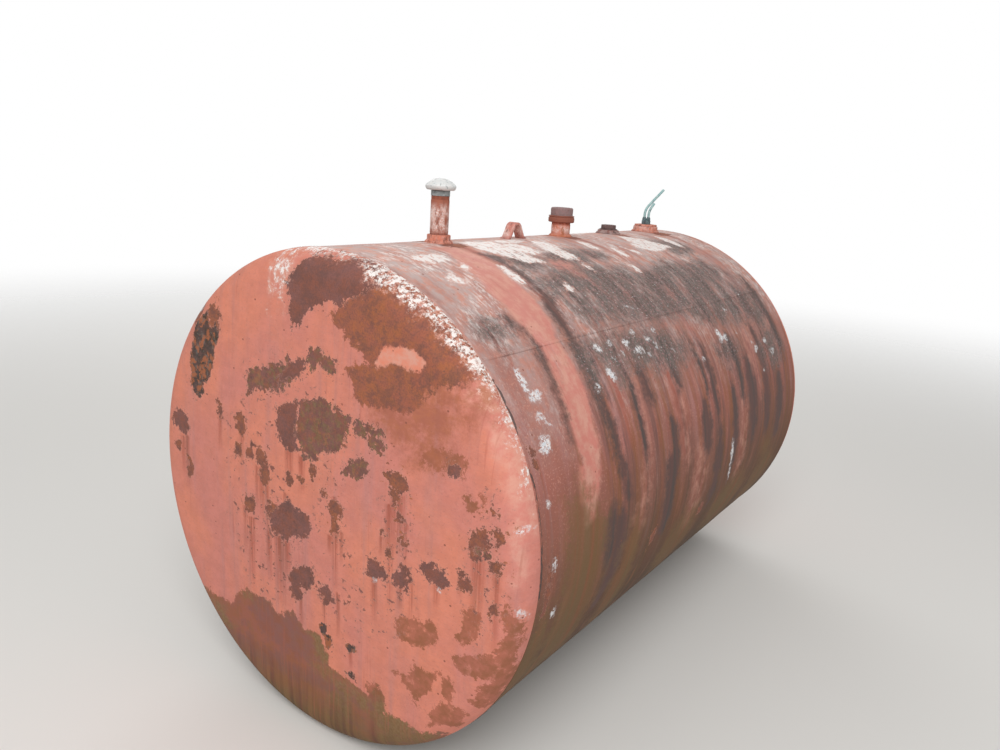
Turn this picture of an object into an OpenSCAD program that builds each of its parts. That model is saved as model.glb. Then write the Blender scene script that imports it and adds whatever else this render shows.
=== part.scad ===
// Horizontal cylindrical storage tank with flanged and dished ends, lying on its belly.
// X runs along the tank, the vent is towards -X, Z is up and the belly's flat is at z = 0.

/* [Shell and ends] */
// Outer radius of the shell
shell_r = 609.6; // [500:0.1:760]
// Length of the shell plate, edge to edge
shell_len = 1751; // [1720:1:3000]
// Thickness of the plate of the shell and of both ends
plate_t = 4.8; // [3:0.1:8]
// Outer radius of the rounded corner of each end
knuckle_r = 60; // [40:1:90]
// Radius of the shallow dish of each end
dish_r = 12400; // [6000:10:20000]
// Length of each end's straight flange, up to the weld that joins it to the shell
flange_len = 4.5; // [3:0.5:40]
// Half the width of the flat that the belly has settled to
flat_half = 65; // [55:1:100]
// Angle of the lengthwise seam from the top, towards -Y
seam_angle = 45; // [20:1:80]
// Width of the gap between plates that a butt weld fills
seam_root = 3; // [1:0.5:6]
// Width of a butt weld's bead
seam_w = 8; // [7:0.5:16]
// Height of a butt weld's bead over the plate
seam_proud = 1.5; // [1.2:0.1:3]

/* [Vent] */
// Distance of the vent from the shell's edge at the vent's end
vent_inset = 368.5; // [176:0.5:575]
// Outer diameter of the vent pipe
vent_pipe_d = 48.3; // [42.2:0.1:60.3]
// Wall of the vent pipe
vent_pipe_t = 3.7; // [2:0.1:5]
// Height of the vent pipe's end above the crown
vent_rise = 119; // [80:1:300]
// Outer diameter of the vent's coupling
vent_coupling_d = 62; // [62:0.5:80]
// Height of the vent's coupling above the crown
vent_coupling_h = 20; // [14:0.5:40]
// Diameter of the vent's hood
hood_d = 79; // [74:1:110]
// Height of the domed part of the hood
hood_dome_h = 24; // [20:1:32]
// Height of the hood's straight skirt
hood_skirt_h = 5; // [2:0.5:12]
// Sheet thickness of the hood
hood_t = 2; // [1:0.1:3]
// Height of the collar below the hood
vent_neck_h = 14; // [8:0.5:30]

/* [Lifting lug] */
// Distance of the lifting lug from the middle of the tank, towards -X
lug_back = 163; // [100:1:250]
// Height of the lug's outer face above the crown
lug_h = 47; // [40:1:90]
// Outer radius of the lug's bend
lug_bend_r = 22; // [16:0.5:30]
// Thickness of the lug's strap
lug_t = 7; // [5:0.5:10]
// Width of the lug's strap
lug_w = 30; // [20:1:50]
// Lean of each leg of the lug
lug_splay = 30; // [5:1:40]

/* [Fill pipe] */
// Distance of the fill pipe from the middle of the tank, towards +X
fill_forward = 104; // [40:1:300]
// Outer diameter of the fill pipe
fill_pipe_d = 60.3; // [48.3:0.1:73]
// Wall of the fill pipe
fill_pipe_t = 3.9; // [2:0.1:6]
// Height of the fill adapter's lower face above the crown
fill_adapter_z = 43; // [30:1:120]
// Diameter of the fill adapter's ring
fill_adapter_d = 83; // [82:0.5:100]
// Height of the fill adapter's ring
fill_adapter_h = 21; // [14:0.5:40]
// Diameter of the fill cap
fill_cap_d = 71; // [70:0.5:78]
// Height of the fill cap
fill_cap_h = 25; // [16:0.5:40]
// Radius of the fill cap's rounded top edge
fill_cap_round = 5; // [2:0.5:7]

/* [Plugged opening] */
// Distance of the plugged opening from the middle of the tank, towards +X
bung_forward = 431; // [350:1:550]
// Outer diameter of the plugged coupling
bung_d = 74; // [70:0.5:90]
// Height of the plugged coupling above the crown
bung_h = 12; // [8:0.5:30]
// Diameter of the plug's shank
plug_shank_d = 59; // [50:0.5:60]
// Width of the plug's hexagon across its flats
plug_flats = 46; // [36:0.5:60]
// Height of the plug's collar and hexagon together
plug_h = 17; // [10:0.5:30]

/* [Tube connection] */
// Distance of the tube connection from the shell's edge at the other end
draw_inset = 142.5; // [96:0.5:210]
// Outer diameter of the tube connection's coupling
draw_d = 92; // [90:0.5:110]
// Height of the tube connection's coupling above the crown
draw_h = 19; // [12:0.5:40]
// Diameter of the reducing bushing's shank
bushing_shank_d = 73; // [66:0.5:75]
// Width of the reducing bushing's hexagon across its flats
bushing_flats = 74; // [68:0.5:80]
// Height of the reducing bushing's hexagon
bushing_h = 7; // [4:0.5:16]
// Width across the flats of the twin tube fitting
twin_flats = 31; // [31:0.5:36]
// Height of the twin tube fitting
twin_h = 15; // [8:0.5:30]
// Outer diameter of each copper tube
tube_d = 9.5; // [8:0.1:12.7]
// Wall of each copper tube
tube_t = 1; // [0.7:0.1:1.5]
// Distance between the two copper tubes
tube_gap = 15.4; // [15.2:0.1:16]
// Turn of the pair of tubes about the fitting, from the Y axis
pair_turn = 35; // [0:1:90]
// Width across the flats of each tube nut
tube_nut_flats = 14.5; // [13:0.1:15]
// Height of each tube nut
tube_nut_h = 12; // [8:0.5:20]
// Bend radius of the copper tubes, at their middle
tube_bend_r = 50; // [30:1:80]
// Direction of the tubes' lean in plan, from +X towards -Y
tube_heading = 30; // [0:1:90]
// Bend of the longer tube, from upright
supply_bend = 45; // [10:1:80]
// Straight length of the longer tube past its bend
supply_run = 86; // [20:1:150]
// Bend of the shorter tube, from upright
return_bend = 36; // [10:1:80]
// Straight length of the shorter tube past its bend
return_run = 18; // [10:1:80]

/* [Welds] */
// Leg of the fillet welds round the couplings and pipes
fitting_weld = 7; // [4:0.5:12]
// Radius of the beads at the lug's feet
lug_weld = 5; // [3:0.5:8]

/* [Hidden] */
$fn = 72;
shell_fn = 720;
dish_fn = 1440;

// Paint and metal colours of the model
red_oxide = "#BC7468";
weld_red = "#9A5B50";
dull_alloy = "#C9CCCB";
dark_iron = "#6E4E4A";
cap_brown = "#7A5F5E";
old_copper = "#8FB3B4";
dark_brass = "#4E5256";

// Height of the tank's axis, and of its crown, over the flat of the belly
axis_z = sqrt(pow(shell_r, 2) - pow(flat_half, 2));
crown_z = axis_z + shell_r;
// Outer faces of the gaps' two sides, and the line where each end's knuckle starts
flange_x = shell_len / 2 + seam_root;
tangent_x = flange_x + flange_len;
// Places along the tank of the two fittings that are measured from the shell's edges
vent_x = vent_inset - shell_len / 2;
draw_x = shell_len / 2 - draw_inset;
// Distance of the dish's centre behind the knuckle's centre, for arcs that meet smoothly
dish_back = sqrt(pow(dish_r - knuckle_r, 2) - pow(shell_r - knuckle_r, 2));
// Radius of a butt weld's bead in section
bead_r = (pow(seam_w / 2, 2) + pow(seam_proud, 2)) / (2 * seam_proud);
// Depth past a curved seat, so that a fitting meets the shell all round
seat_depth = 12;
// Small length by which a cut passes the face that it opens
cut = 1;
// Depth of the pipes' ends in their couplings
pipe_grip = 14;
// Width of the chamfer on the rims of couplings
rim_chamfer = 1.5;
// Height and place of the vent's parts over the crown
neck_top_z = crown_z + vent_rise + vent_neck_h;
hood_lift = 2;
hood_rim_z = neck_top_z + hood_lift;
hood_top_z = hood_rim_z + hood_skirt_h + hood_dome_h;
hood_r = (pow(hood_d / 2, 2) + pow(hood_dome_h, 2)) / (2 * hood_dome_h);
neck_lip = 0.5;
neck_t = 3;
neck_d = vent_pipe_d + 2 * neck_lip;
neck_bore = vent_pipe_d - 2 * vent_pipe_t - 2 * neck_t;
screen_t = 1;
// Ribs stand on the neck's rim, just outside the gauze
rib_in = neck_bore / 2 + screen_t;
rib_out = neck_d / 2 - rim_chamfer;
rib_t = 4;
rib_count = 4;
// Top of each stacked fitting
fill_shoulder_z = crown_z + fill_adapter_z + fill_adapter_h;
fill_cap_t = 4;
bung_top_z = crown_z + bung_h;
draw_top_z = crown_z + draw_h;
bushing_top_z = draw_top_z + bushing_h;
twin_top_z = bushing_top_z + twin_h;
nut_top_z = twin_top_z + tube_nut_h;
// Straight part of the tubes above the nuts, before the bend
tube_rise = 8;
// Distance from a screwed shank's end to the crown
shank_clear = 2;
// Step from the twin fitting's flats in to its shank, and the shank's depth in the bushing
twin_step = 3;
twin_grip = 8;
twin_shank_d = twin_flats - twin_step;
twin_shank_h = bushing_h + twin_grip;
// Height of a tube nut's round nose, and the step from the nut's flats in to it
nose_h = 4;
nose_step = 2;
// Thinning of a tube's wall in its bend, and the length by which the bend starts within the tube
bend_loss = 0.12;
bend_lap = 1;
// Distance by which the legs of a bent strap start inside its bend
strap_ease = 0.02;

// Cross-section of the tank, drawn in by an inset, with its axis at the origin
module tank_section(inset) {
    intersection() {
        circle(r = shell_r - inset, $fn = shell_fn);
        translate([-shell_r, inset - axis_z])
            square([2 * shell_r, 2 * shell_r + axis_z]);
    }
}

// Solid of the tank's section over a length, centred on the tank
module tank_body(inset, length) {
    translate([-length / 2, 0, axis_z])
        rotate([90, 0, 90])
            linear_extrude(height = length)
                tank_section(inset);
}

// All the space above a level
module above(level) {
    half = shell_len;
    translate([-half, -half, level])
        cube([2 * half, 2 * half, 2 * half]);
}

// Half section of an end at an inset: flange below y = 0, knuckle and dish above
module head_section(inset) {
    dish = dish_r - inset;
    smooth_r = (shell_r - knuckle_r) * dish / (dish_r - knuckle_r);
    intersection() {
        translate([0, -dish_back])
            circle(r = dish, $fn = dish_fn);
        union() {
            translate([0, -flange_len - inset])
                square([shell_r - inset, flange_len + inset]);
            square([smooth_r, 2 * knuckle_r]);
            intersection() {
                translate([shell_r - knuckle_r, 0])
                    circle(r = knuckle_r - inset);
                square([shell_r, knuckle_r]);
            }
        }
    }
}

// Puts what is drawn for the vent's end at either end: side is -1 or 1
module at_end(side) {
    mirror([side > 0 ? 1 : 0, 0, 0])
        children();
}

// Solid of the vent's end at an inset
module head_form(inset) {
    intersection() {
        translate([-tangent_x, 0, axis_z])
            rotate([0, -90, 0])
                rotate_extrude($fn = shell_fn)
                    head_section(inset);
        above(inset);
    }
}

// One end: a flanged and dished plate, flattened along the belly like the shell
module head(side) {
    color(red_oxide)
        at_end(side)
            difference() {
                head_form(0);
                head_form(plate_t);
            }
}

// Butt weld that fills the gap between the shell and an end and stands a little proud
module head_weld(side) {
    seam_x = (shell_len + seam_root) / 2;
    color(weld_red)
        at_end(side)
            difference() {
                intersection() {
                    union() {
                        translate([-seam_x, 0, axis_z])
                            rotate([0, -90, 0])
                                rotate_extrude($fn = shell_fn)
                                    translate([shell_r + seam_proud - bead_r, 0])
                                        circle(r = bead_r, $fn = 96);
                        translate([-seam_x, 0, 0])
                            tank_body(0, seam_root);
                    }
                    above(0);
                }
                tank_body(0, shell_len);
                translate([-flange_x - seam_w, 0, 0])
                    tank_body(0, 2 * seam_w);
                tank_body(plate_t, 2 * tangent_x);
            }
}

// Rolled shell plate with the holes of its fittings
module shell() {
    color(red_oxide)
        difference() {
            tank_body(0, shell_len);
            tank_body(plate_t, shell_len + 2 * cut);
            shell_hole(vent_x, vent_pipe_d - 2 * vent_pipe_t);
            shell_hole(fill_forward, fill_pipe_d - 2 * fill_pipe_t);
            shell_hole(bung_forward, plug_shank_d);
            shell_hole(draw_x, bushing_shank_d);
            seam_slot(cut);
        }
}

// Round hole through the crown of the shell
module shell_hole(x, d) {
    translate([x, 0, axis_z])
        cylinder(d = d, h = shell_r + seat_depth);
}

// Gap between the plate's two edges where the rolled shell meets itself
module seam_slot(past) {
    translate([-shell_len / 2 - past, 0, axis_z])
        rotate([seam_angle, 0, 0])
            translate([0, -seam_root / 2, shell_r - plate_t - cut])
                cube([shell_len + 2 * past, seam_root, plate_t + 2 * cut]);
}

// Butt weld that fills the gap, with a bead that stops where the ends' beads start
module shell_seam_weld() {
    bead_len = shell_len - (seam_w - seam_root);
    color(weld_red)
        difference() {
            union() {
                translate([-bead_len / 2, 0, axis_z])
                    rotate([seam_angle, 0, 0])
                        translate([0, 0, shell_r + seam_proud - bead_r])
                            rotate([0, 90, 0])
                                cylinder(r = bead_r, h = bead_len, $fn = 144);
                seam_slot(0);
            }
            difference() {
                tank_body(0, shell_len + 2 * cut);
                seam_slot(2 * cut);
            }
            tank_body(plate_t, shell_len + 2 * cut);
        }
}

// Half coupling at x: a short sleeve cut to the curve of the shell it stands on
module half_coupling(x, d, bore, rise) {
    color(red_oxide)
        difference() {
            translate([x, 0, crown_z - seat_depth])
                rotate_extrude()
                    polygon([[bore / 2, 0], [d / 2, 0],
                        [d / 2, seat_depth + rise - rim_chamfer],
                        [d / 2 - rim_chamfer, seat_depth + rise],
                        [bore / 2, seat_depth + rise]]);
            tank_body(0, shell_len);
        }
}

// Fillet weld round a coupling or pipe at x
module ring_weld(x, d) {
    color(weld_red)
        difference() {
            translate([x, 0, crown_z - fitting_weld / 4])
                rotate_extrude()
                    intersection() {
                        translate([d / 2, 0])
                            circle(r = fitting_weld, $fn = 32);
                        translate([d / 2, -fitting_weld])
                            square(2 * fitting_weld);
                    }
            tank_body(0, shell_len);
        }
}

// Hexagon with its corners chamfered at the top, standing on z = 0
module hex_head(flats, h) {
    across = flats / cos(30);
    chamfer = (across - flats) / 2;
    intersection() {
        cylinder(d = across, h = h, $fn = 6);
        rotate_extrude()
            polygon([[0, 0], [across / 2, 0], [across / 2, h - chamfer * tan(30)],
                [flats / 2 - chamfer / 2, h], [0, h]]);
    }
}

module vent_coupling() {
    half_coupling(vent_x, vent_coupling_d, vent_pipe_d, vent_coupling_h);
}

module vent_coupling_weld() {
    ring_weld(vent_x, vent_coupling_d);
}

// Upright pipe screwed into its coupling
module vent_pipe() {
    foot_z = crown_z + vent_coupling_h - pipe_grip;
    color(red_oxide)
        translate([vent_x, 0, foot_z])
            difference() {
                cylinder(d = vent_pipe_d, h = crown_z + vent_rise - foot_z);
                translate([0, 0, -cut])
                    cylinder(d = vent_pipe_d - 2 * vent_pipe_t,
                        h = crown_z + vent_rise - foot_z + 2 * cut);
            }
}

// Space under the hood's inner face, for what reaches up to it
module hood_inside() {
    translate([0, 0, hood_top_z - hood_r])
        intersection() {
            sphere(r = hood_r - hood_t, $fn = 96);
            translate([0, 0, hood_r - hood_t - hood_dome_h])
                cylinder(d = hood_d, h = hood_dome_h);
        }
    translate([0, 0, hood_rim_z - vent_neck_h])
        cylinder(d = hood_d - 2 * hood_t, h = hood_skirt_h + vent_neck_h);
}

// Collar that stands in the pipe's end and carries the hood on ribs
module vent_neck() {
    seat_z = crown_z + vent_rise;
    color(dull_alloy)
        translate([vent_x, 0, 0]) {
            rotate_extrude()
                translate([0, seat_z])
                    polygon([[neck_bore / 2, -pipe_grip],
                        [vent_pipe_d / 2 - vent_pipe_t, -pipe_grip],
                        [vent_pipe_d / 2 - vent_pipe_t, 0], [neck_d / 2, 0],
                        [neck_d / 2, vent_neck_h - rim_chamfer],
                        [neck_d / 2 - rim_chamfer, vent_neck_h],
                        [neck_bore / 2, vent_neck_h]]);
            for (i = [0 : rib_count - 1])
                intersection() {
                    rotate([0, 0, 45 + i * 360 / rib_count])
                        translate([rib_in, -rib_t / 2, neck_top_z - cut])
                            cube([rib_out - rib_in, rib_t, hood_skirt_h + hood_dome_h]);
                    hood_inside();
                }
        }
}

// Ring of gauze that closes the air gap inside the ribs
module vent_screen() {
    outer = neck_bore + 2 * screen_t;
    color(dark_brass)
        translate([vent_x, 0, 0])
            intersection() {
                difference() {
                    translate([0, 0, neck_top_z])
                        cylinder(d = outer, h = hood_skirt_h + hood_dome_h);
                    translate([0, 0, neck_top_z - cut])
                        cylinder(d = neck_bore, h = hood_skirt_h + hood_dome_h + 2 * cut);
                }
                hood_inside();
            }
}

// Mushroom hood: a spun dome with a short skirt and a rolled rim
module vent_hood() {
    rim_r = 1.6;
    color(dull_alloy)
        translate([vent_x, 0, 0])
            rotate_extrude($fn = 96) {
                difference() {
                    hood_outline(0);
                    hood_outline(hood_t);
                }
                translate([hood_d / 2 - hood_t / 2, hood_rim_z])
                    circle(r = rim_r, $fn = 32);
            }
}

// Half outline of the hood at an inset
module hood_outline(inset) {
    intersection() {
        translate([0, hood_top_z - hood_r])
            circle(r = hood_r - inset, $fn = 192);
        translate([0, hood_top_z - hood_dome_h])
            square([hood_d / 2 - inset, hood_dome_h]);
    }
    translate([0, hood_rim_z - inset])
        square([hood_d / 2 - inset, hood_skirt_h + inset]);
}

// Space within the bent strap's outer face, drawn in by an inset, across a width
module lug_form(inset, width) {
    bend_r = lug_bend_r - inset;
    leg_r = bend_r - strap_ease;
    bend_z = lug_h - lug_bend_r;
    side_x = leg_r * cos(lug_splay);
    side_z = bend_z + leg_r * sin(lug_splay);
    foot_x = side_x + (side_z + seat_depth) * tan(lug_splay);
    translate([-lug_back, width / 2, crown_z])
        rotate([90, 0, 0]) {
            translate([0, bend_z, 0])
                cylinder(r = bend_r, h = width);
            linear_extrude(height = width)
                polygon([[side_x, side_z], [foot_x, -seat_depth],
                    [-foot_x, -seat_depth], [-side_x, side_z]]);
        }
}

// Lifting lug: a strap bent to a loop and welded across the crown
module lifting_lug() {
    color(red_oxide)
        difference() {
            lug_form(0, lug_w);
            lug_form(lug_t, 2 * lug_w);
            tank_body(0, shell_len);
        }
}

// Bead across the outer foot of one leg of the lug
module lug_bead(side) {
    foot = lug_bend_r / cos(lug_splay) + (lug_h - lug_bend_r) * tan(lug_splay);
    color(weld_red)
        difference() {
            translate([-lug_back + side * foot, lug_w / 2, crown_z])
                rotate([90, 0, 0])
                    cylinder(r = lug_weld, h = lug_w, $fn = 32);
            tank_body(0, shell_len);
            lug_form(0, 2 * lug_w);
        }
}

// Fill pipe, welded straight to the shell
module fill_pipe() {
    top_z = crown_z + fill_adapter_z + pipe_grip;
    color(red_oxide)
        difference() {
            translate([fill_forward, 0, crown_z - seat_depth])
                cylinder(d = fill_pipe_d, h = top_z - crown_z + seat_depth);
            translate([fill_forward, 0, crown_z - 2 * seat_depth])
                cylinder(d = fill_pipe_d - 2 * fill_pipe_t,
                    h = top_z - crown_z + 3 * seat_depth);
            tank_body(0, shell_len);
        }
}

module fill_pipe_weld() {
    ring_weld(fill_forward, fill_pipe_d);
}

// Ring on the fill pipe's end, with the neck that the cap closes
module fill_adapter() {
    base_z = crown_z + fill_adapter_z;
    neck_r = fill_cap_d / 2 - fill_cap_t;
    throat_r = fill_pipe_d / 2 - fill_pipe_t;
    neck_rise = fill_cap_h - fill_cap_t;
    color(cap_brown)
        translate([fill_forward, 0, base_z])
            rotate_extrude()
                polygon([[fill_pipe_d / 2, 0], [fill_adapter_d / 2 - rim_chamfer, 0],
                    [fill_adapter_d / 2, rim_chamfer],
                    [fill_adapter_d / 2, fill_adapter_h - rim_chamfer],
                    [fill_adapter_d / 2 - rim_chamfer, fill_adapter_h],
                    [neck_r, fill_adapter_h], [neck_r, fill_adapter_h + neck_rise],
                    [throat_r, fill_adapter_h + neck_rise], [throat_r, pipe_grip],
                    [fill_pipe_d / 2, pipe_grip]]);
}

// Cap over the adapter's neck: a cup with a rounded top edge
module fill_cap() {
    r = fill_cap_d / 2;
    color(cap_brown)
        translate([fill_forward, 0, fill_shoulder_z])
            rotate_extrude()
                difference() {
                    union() {
                        square([r, fill_cap_h - fill_cap_round]);
                        square([r - fill_cap_round, fill_cap_h]);
                        translate([r - fill_cap_round, fill_cap_h - fill_cap_round])
                            intersection() {
                                circle(r = fill_cap_round, $fn = 32);
                                square(fill_cap_round);
                            }
                    }
                    translate([0, -cut])
                        square([r - fill_cap_t, fill_cap_h - fill_cap_t + cut]);
                }
}

module bung_coupling() {
    half_coupling(bung_forward, bung_d, plug_shank_d, bung_h);
}

module bung_coupling_weld() {
    ring_weld(bung_forward, bung_d);
}

// Hexagon-headed plug with a collar, screwed into its coupling
module bung_plug() {
    collar_h = 3;
    collar_lip = 2;
    color(dark_iron)
        translate([bung_forward, 0, bung_top_z]) {
            translate([0, 0, shank_clear - bung_h])
                cylinder(d = plug_shank_d, h = bung_h - shank_clear);
            cylinder(d = plug_shank_d + 2 * collar_lip, h = collar_h);
            translate([0, 0, collar_h])
                hex_head(plug_flats, plug_h - collar_h);
        }
}

module draw_coupling() {
    half_coupling(draw_x, draw_d, bushing_shank_d, draw_h);
}

module draw_coupling_weld() {
    ring_weld(draw_x, draw_d);
}

// Reducing bushing that carries the twin fitting
module reducing_bushing() {
    shank = draw_h - shank_clear;
    color(red_oxide)
        translate([draw_x, 0, draw_top_z])
            difference() {
                union() {
                    translate([0, 0, -shank])
                        cylinder(d = bushing_shank_d, h = shank);
                    hex_head(bushing_flats, bushing_h);
                }
                translate([0, 0, -shank - cut])
                    cylinder(d = twin_shank_d, h = shank + bushing_h + 2 * cut);
            }
}

// Place of one tube's port, with z = 0 at a level
module at_port(side, level) {
    translate([draw_x, 0, level])
        rotate([0, 0, pair_turn])
            translate([0, side * tube_gap / 2, 0])
                children();
}

// Fitting with two ports side by side, one for each tube
module twin_tube_fitting() {
    color(dark_brass)
        difference() {
            translate([draw_x, 0, bushing_top_z])
                rotate([0, 0, pair_turn]) {
                    translate([0, 0, -twin_shank_h])
                        cylinder(d = twin_shank_d, h = twin_shank_h);
                    hex_head(twin_flats, twin_h);
                }
            for (side = [-1, 1])
                at_port(side, bushing_top_z - twin_shank_h - cut)
                    cylinder(d = tube_d, h = twin_shank_h + twin_h + 2 * cut);
        }
}

// Nut that clamps one tube, with its round nose upwards
module tube_nut(side) {
    nose_d = tube_nut_flats - nose_step;
    color(dark_brass)
        at_port(side, twin_top_z)
            difference() {
                union() {
                    hex_head(tube_nut_flats, tube_nut_h - nose_h);
                    cylinder(d = nose_d, h = tube_nut_h);
                }
                translate([0, 0, -cut])
                    cylinder(d = tube_d, h = tube_nut_h + 2 * cut);
            }
}

// Bent tube that rises through its nut, turns over and runs on straight
module bent_tube(side, bend, run) {
    rise = tube_nut_h + twin_h + tube_rise;
    color(old_copper)
        at_port(side, nut_top_z + tube_rise)
            rotate([0, 0, -pair_turn - tube_heading]) {
                translate([0, 0, -rise])
                    straight_tube(rise + bend_lap);
                translate([tube_bend_r, 0, 0]) {
                    rotate([90, 0, 0])
                        rotate_extrude(angle = -bend, start = 180)
                            translate([tube_bend_r, 0])
                                tube_ring(bend_loss);
                    rotate([0, bend, 0])
                        translate([-tube_bend_r, 0, -bend_lap])
                            straight_tube(run + bend_lap);
                }
            }
}

// Section of a tube, with its wall thinned by a loss on each face
module tube_ring(loss) {
    difference() {
        circle(d = tube_d - 2 * loss, $fn = 48);
        circle(d = tube_d - 2 * tube_t + 2 * loss, $fn = 48);
    }
}

module straight_tube(length) {
    linear_extrude(height = length)
        tube_ring(0);
}

shell();
shell_seam_weld();
head(-1);  // front_head
head(1);  // rear_head
head_weld(-1);  // front_head_weld
head_weld(1);  // rear_head_weld
vent_coupling();
vent_coupling_weld();
vent_pipe();
vent_neck();
vent_screen();
vent_hood();
lifting_lug();
lug_bead(-1);  // lug_weld_front
lug_bead(1);  // lug_weld_rear
fill_pipe();
fill_pipe_weld();
fill_adapter();
fill_cap();
bung_coupling();
bung_coupling_weld();
bung_plug();
draw_coupling();
draw_coupling_weld();
reducing_bushing();
twin_tube_fitting();
tube_nut(1);  // supply_tube_nut
tube_nut(-1);  // return_tube_nut
bent_tube(1, supply_bend, supply_run);  // supply_tube
bent_tube(-1, return_bend, return_run);  // return_tube
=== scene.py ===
"""Finishes and fine pieces of a horizontal storage tank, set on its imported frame.

Numbers in the lists are millimetres: X runs along the tank and Z is up.
"""
import math

import bmesh
import bpy
import numpy as np
from bmesh.types import BMEdge, BMVert
from bpy.props import FloatProperty, FloatVectorProperty, IntProperty, PointerProperty
from mathutils import Matrix, Vector, noise


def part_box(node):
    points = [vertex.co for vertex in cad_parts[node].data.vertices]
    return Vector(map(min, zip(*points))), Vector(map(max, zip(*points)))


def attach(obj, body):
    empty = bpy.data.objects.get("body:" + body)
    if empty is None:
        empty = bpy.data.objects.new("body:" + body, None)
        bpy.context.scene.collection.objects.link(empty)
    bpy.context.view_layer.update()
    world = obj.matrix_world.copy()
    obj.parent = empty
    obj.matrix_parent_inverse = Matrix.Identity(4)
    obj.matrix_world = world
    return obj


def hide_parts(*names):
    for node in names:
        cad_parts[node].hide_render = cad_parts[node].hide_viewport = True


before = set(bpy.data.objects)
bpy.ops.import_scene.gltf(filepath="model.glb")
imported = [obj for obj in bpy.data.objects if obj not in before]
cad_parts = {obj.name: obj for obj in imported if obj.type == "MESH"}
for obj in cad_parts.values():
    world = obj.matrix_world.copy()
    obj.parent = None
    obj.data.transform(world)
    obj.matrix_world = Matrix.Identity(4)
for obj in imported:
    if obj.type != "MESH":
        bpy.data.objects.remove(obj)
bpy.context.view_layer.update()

bl_info = {
    "name": "Horizontal storage tank",
    "version": (1, 0, 0),
    "blender": (4, 5, 0),
    "location": "3D View > Sidebar > Tank",
    "description": "Dresses a packed storage tank with weathered finishes and fine pieces",
    "category": "Object",
}

MM = 0.001


def linear(hex_colour):
    """Linear colour of an sRGB hex value."""
    parts = [int(hex_colour[i:i + 2], 16) / 255 for i in (1, 3, 5)]
    return [c / 12.92 if c <= 0.04045 else ((c + 0.055) / 1.055) ** 2.4 for c in parts] + [1.0]


def tint(name, hex_colour, description):
    """A colour that a user may change."""
    return FloatVectorProperty(name=name, description=description, subtype="COLOR", size=4,
                               min=0, max=1, default=linear(hex_colour))


def length(name, value, description):
    """A length in metres that a user may change, given in millimetres."""
    return FloatProperty(name=name, description=description, unit="LENGTH", min=0,
                         default=value * MM)


def angle(name, value, description):
    """An angle that a user may change, given in degrees."""
    return FloatProperty(name=name, description=description, subtype="ANGLE",
                         default=math.radians(value))


def count(name, value, description):
    """A number of steps that a user may change."""
    return IntProperty(name=name, description=description, min=8, default=value)


def box_mm(node):
    """Low and high corners of one of the frame's nodes, in millimetres."""
    return [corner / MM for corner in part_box(node)]


# Where the shell is, in millimetres
SHELL_LOW, SHELL_HIGH = box_mm("shell")
RADIUS = (SHELL_HIGH.y - SHELL_LOW.y) / 2
CROWN = SHELL_HIGH.z
AXIS = CROWN - RADIUS
HALF = SHELL_HIGH.x
GIRTH = math.tau * RADIUS
FOOT = -8  # the foot of pipes and couplings, inside the shell
SEED = 7  # of the vector noise, which would else take its offsets from the clock


def standing(node):
    """Middle x, outer radius, foot and top over the crown of an upright part."""
    low, high = box_mm(node)
    return (low.x + high.x) / 2, (high.y - low.y) / 2, low.z - CROWN, high.z - CROWN


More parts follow.
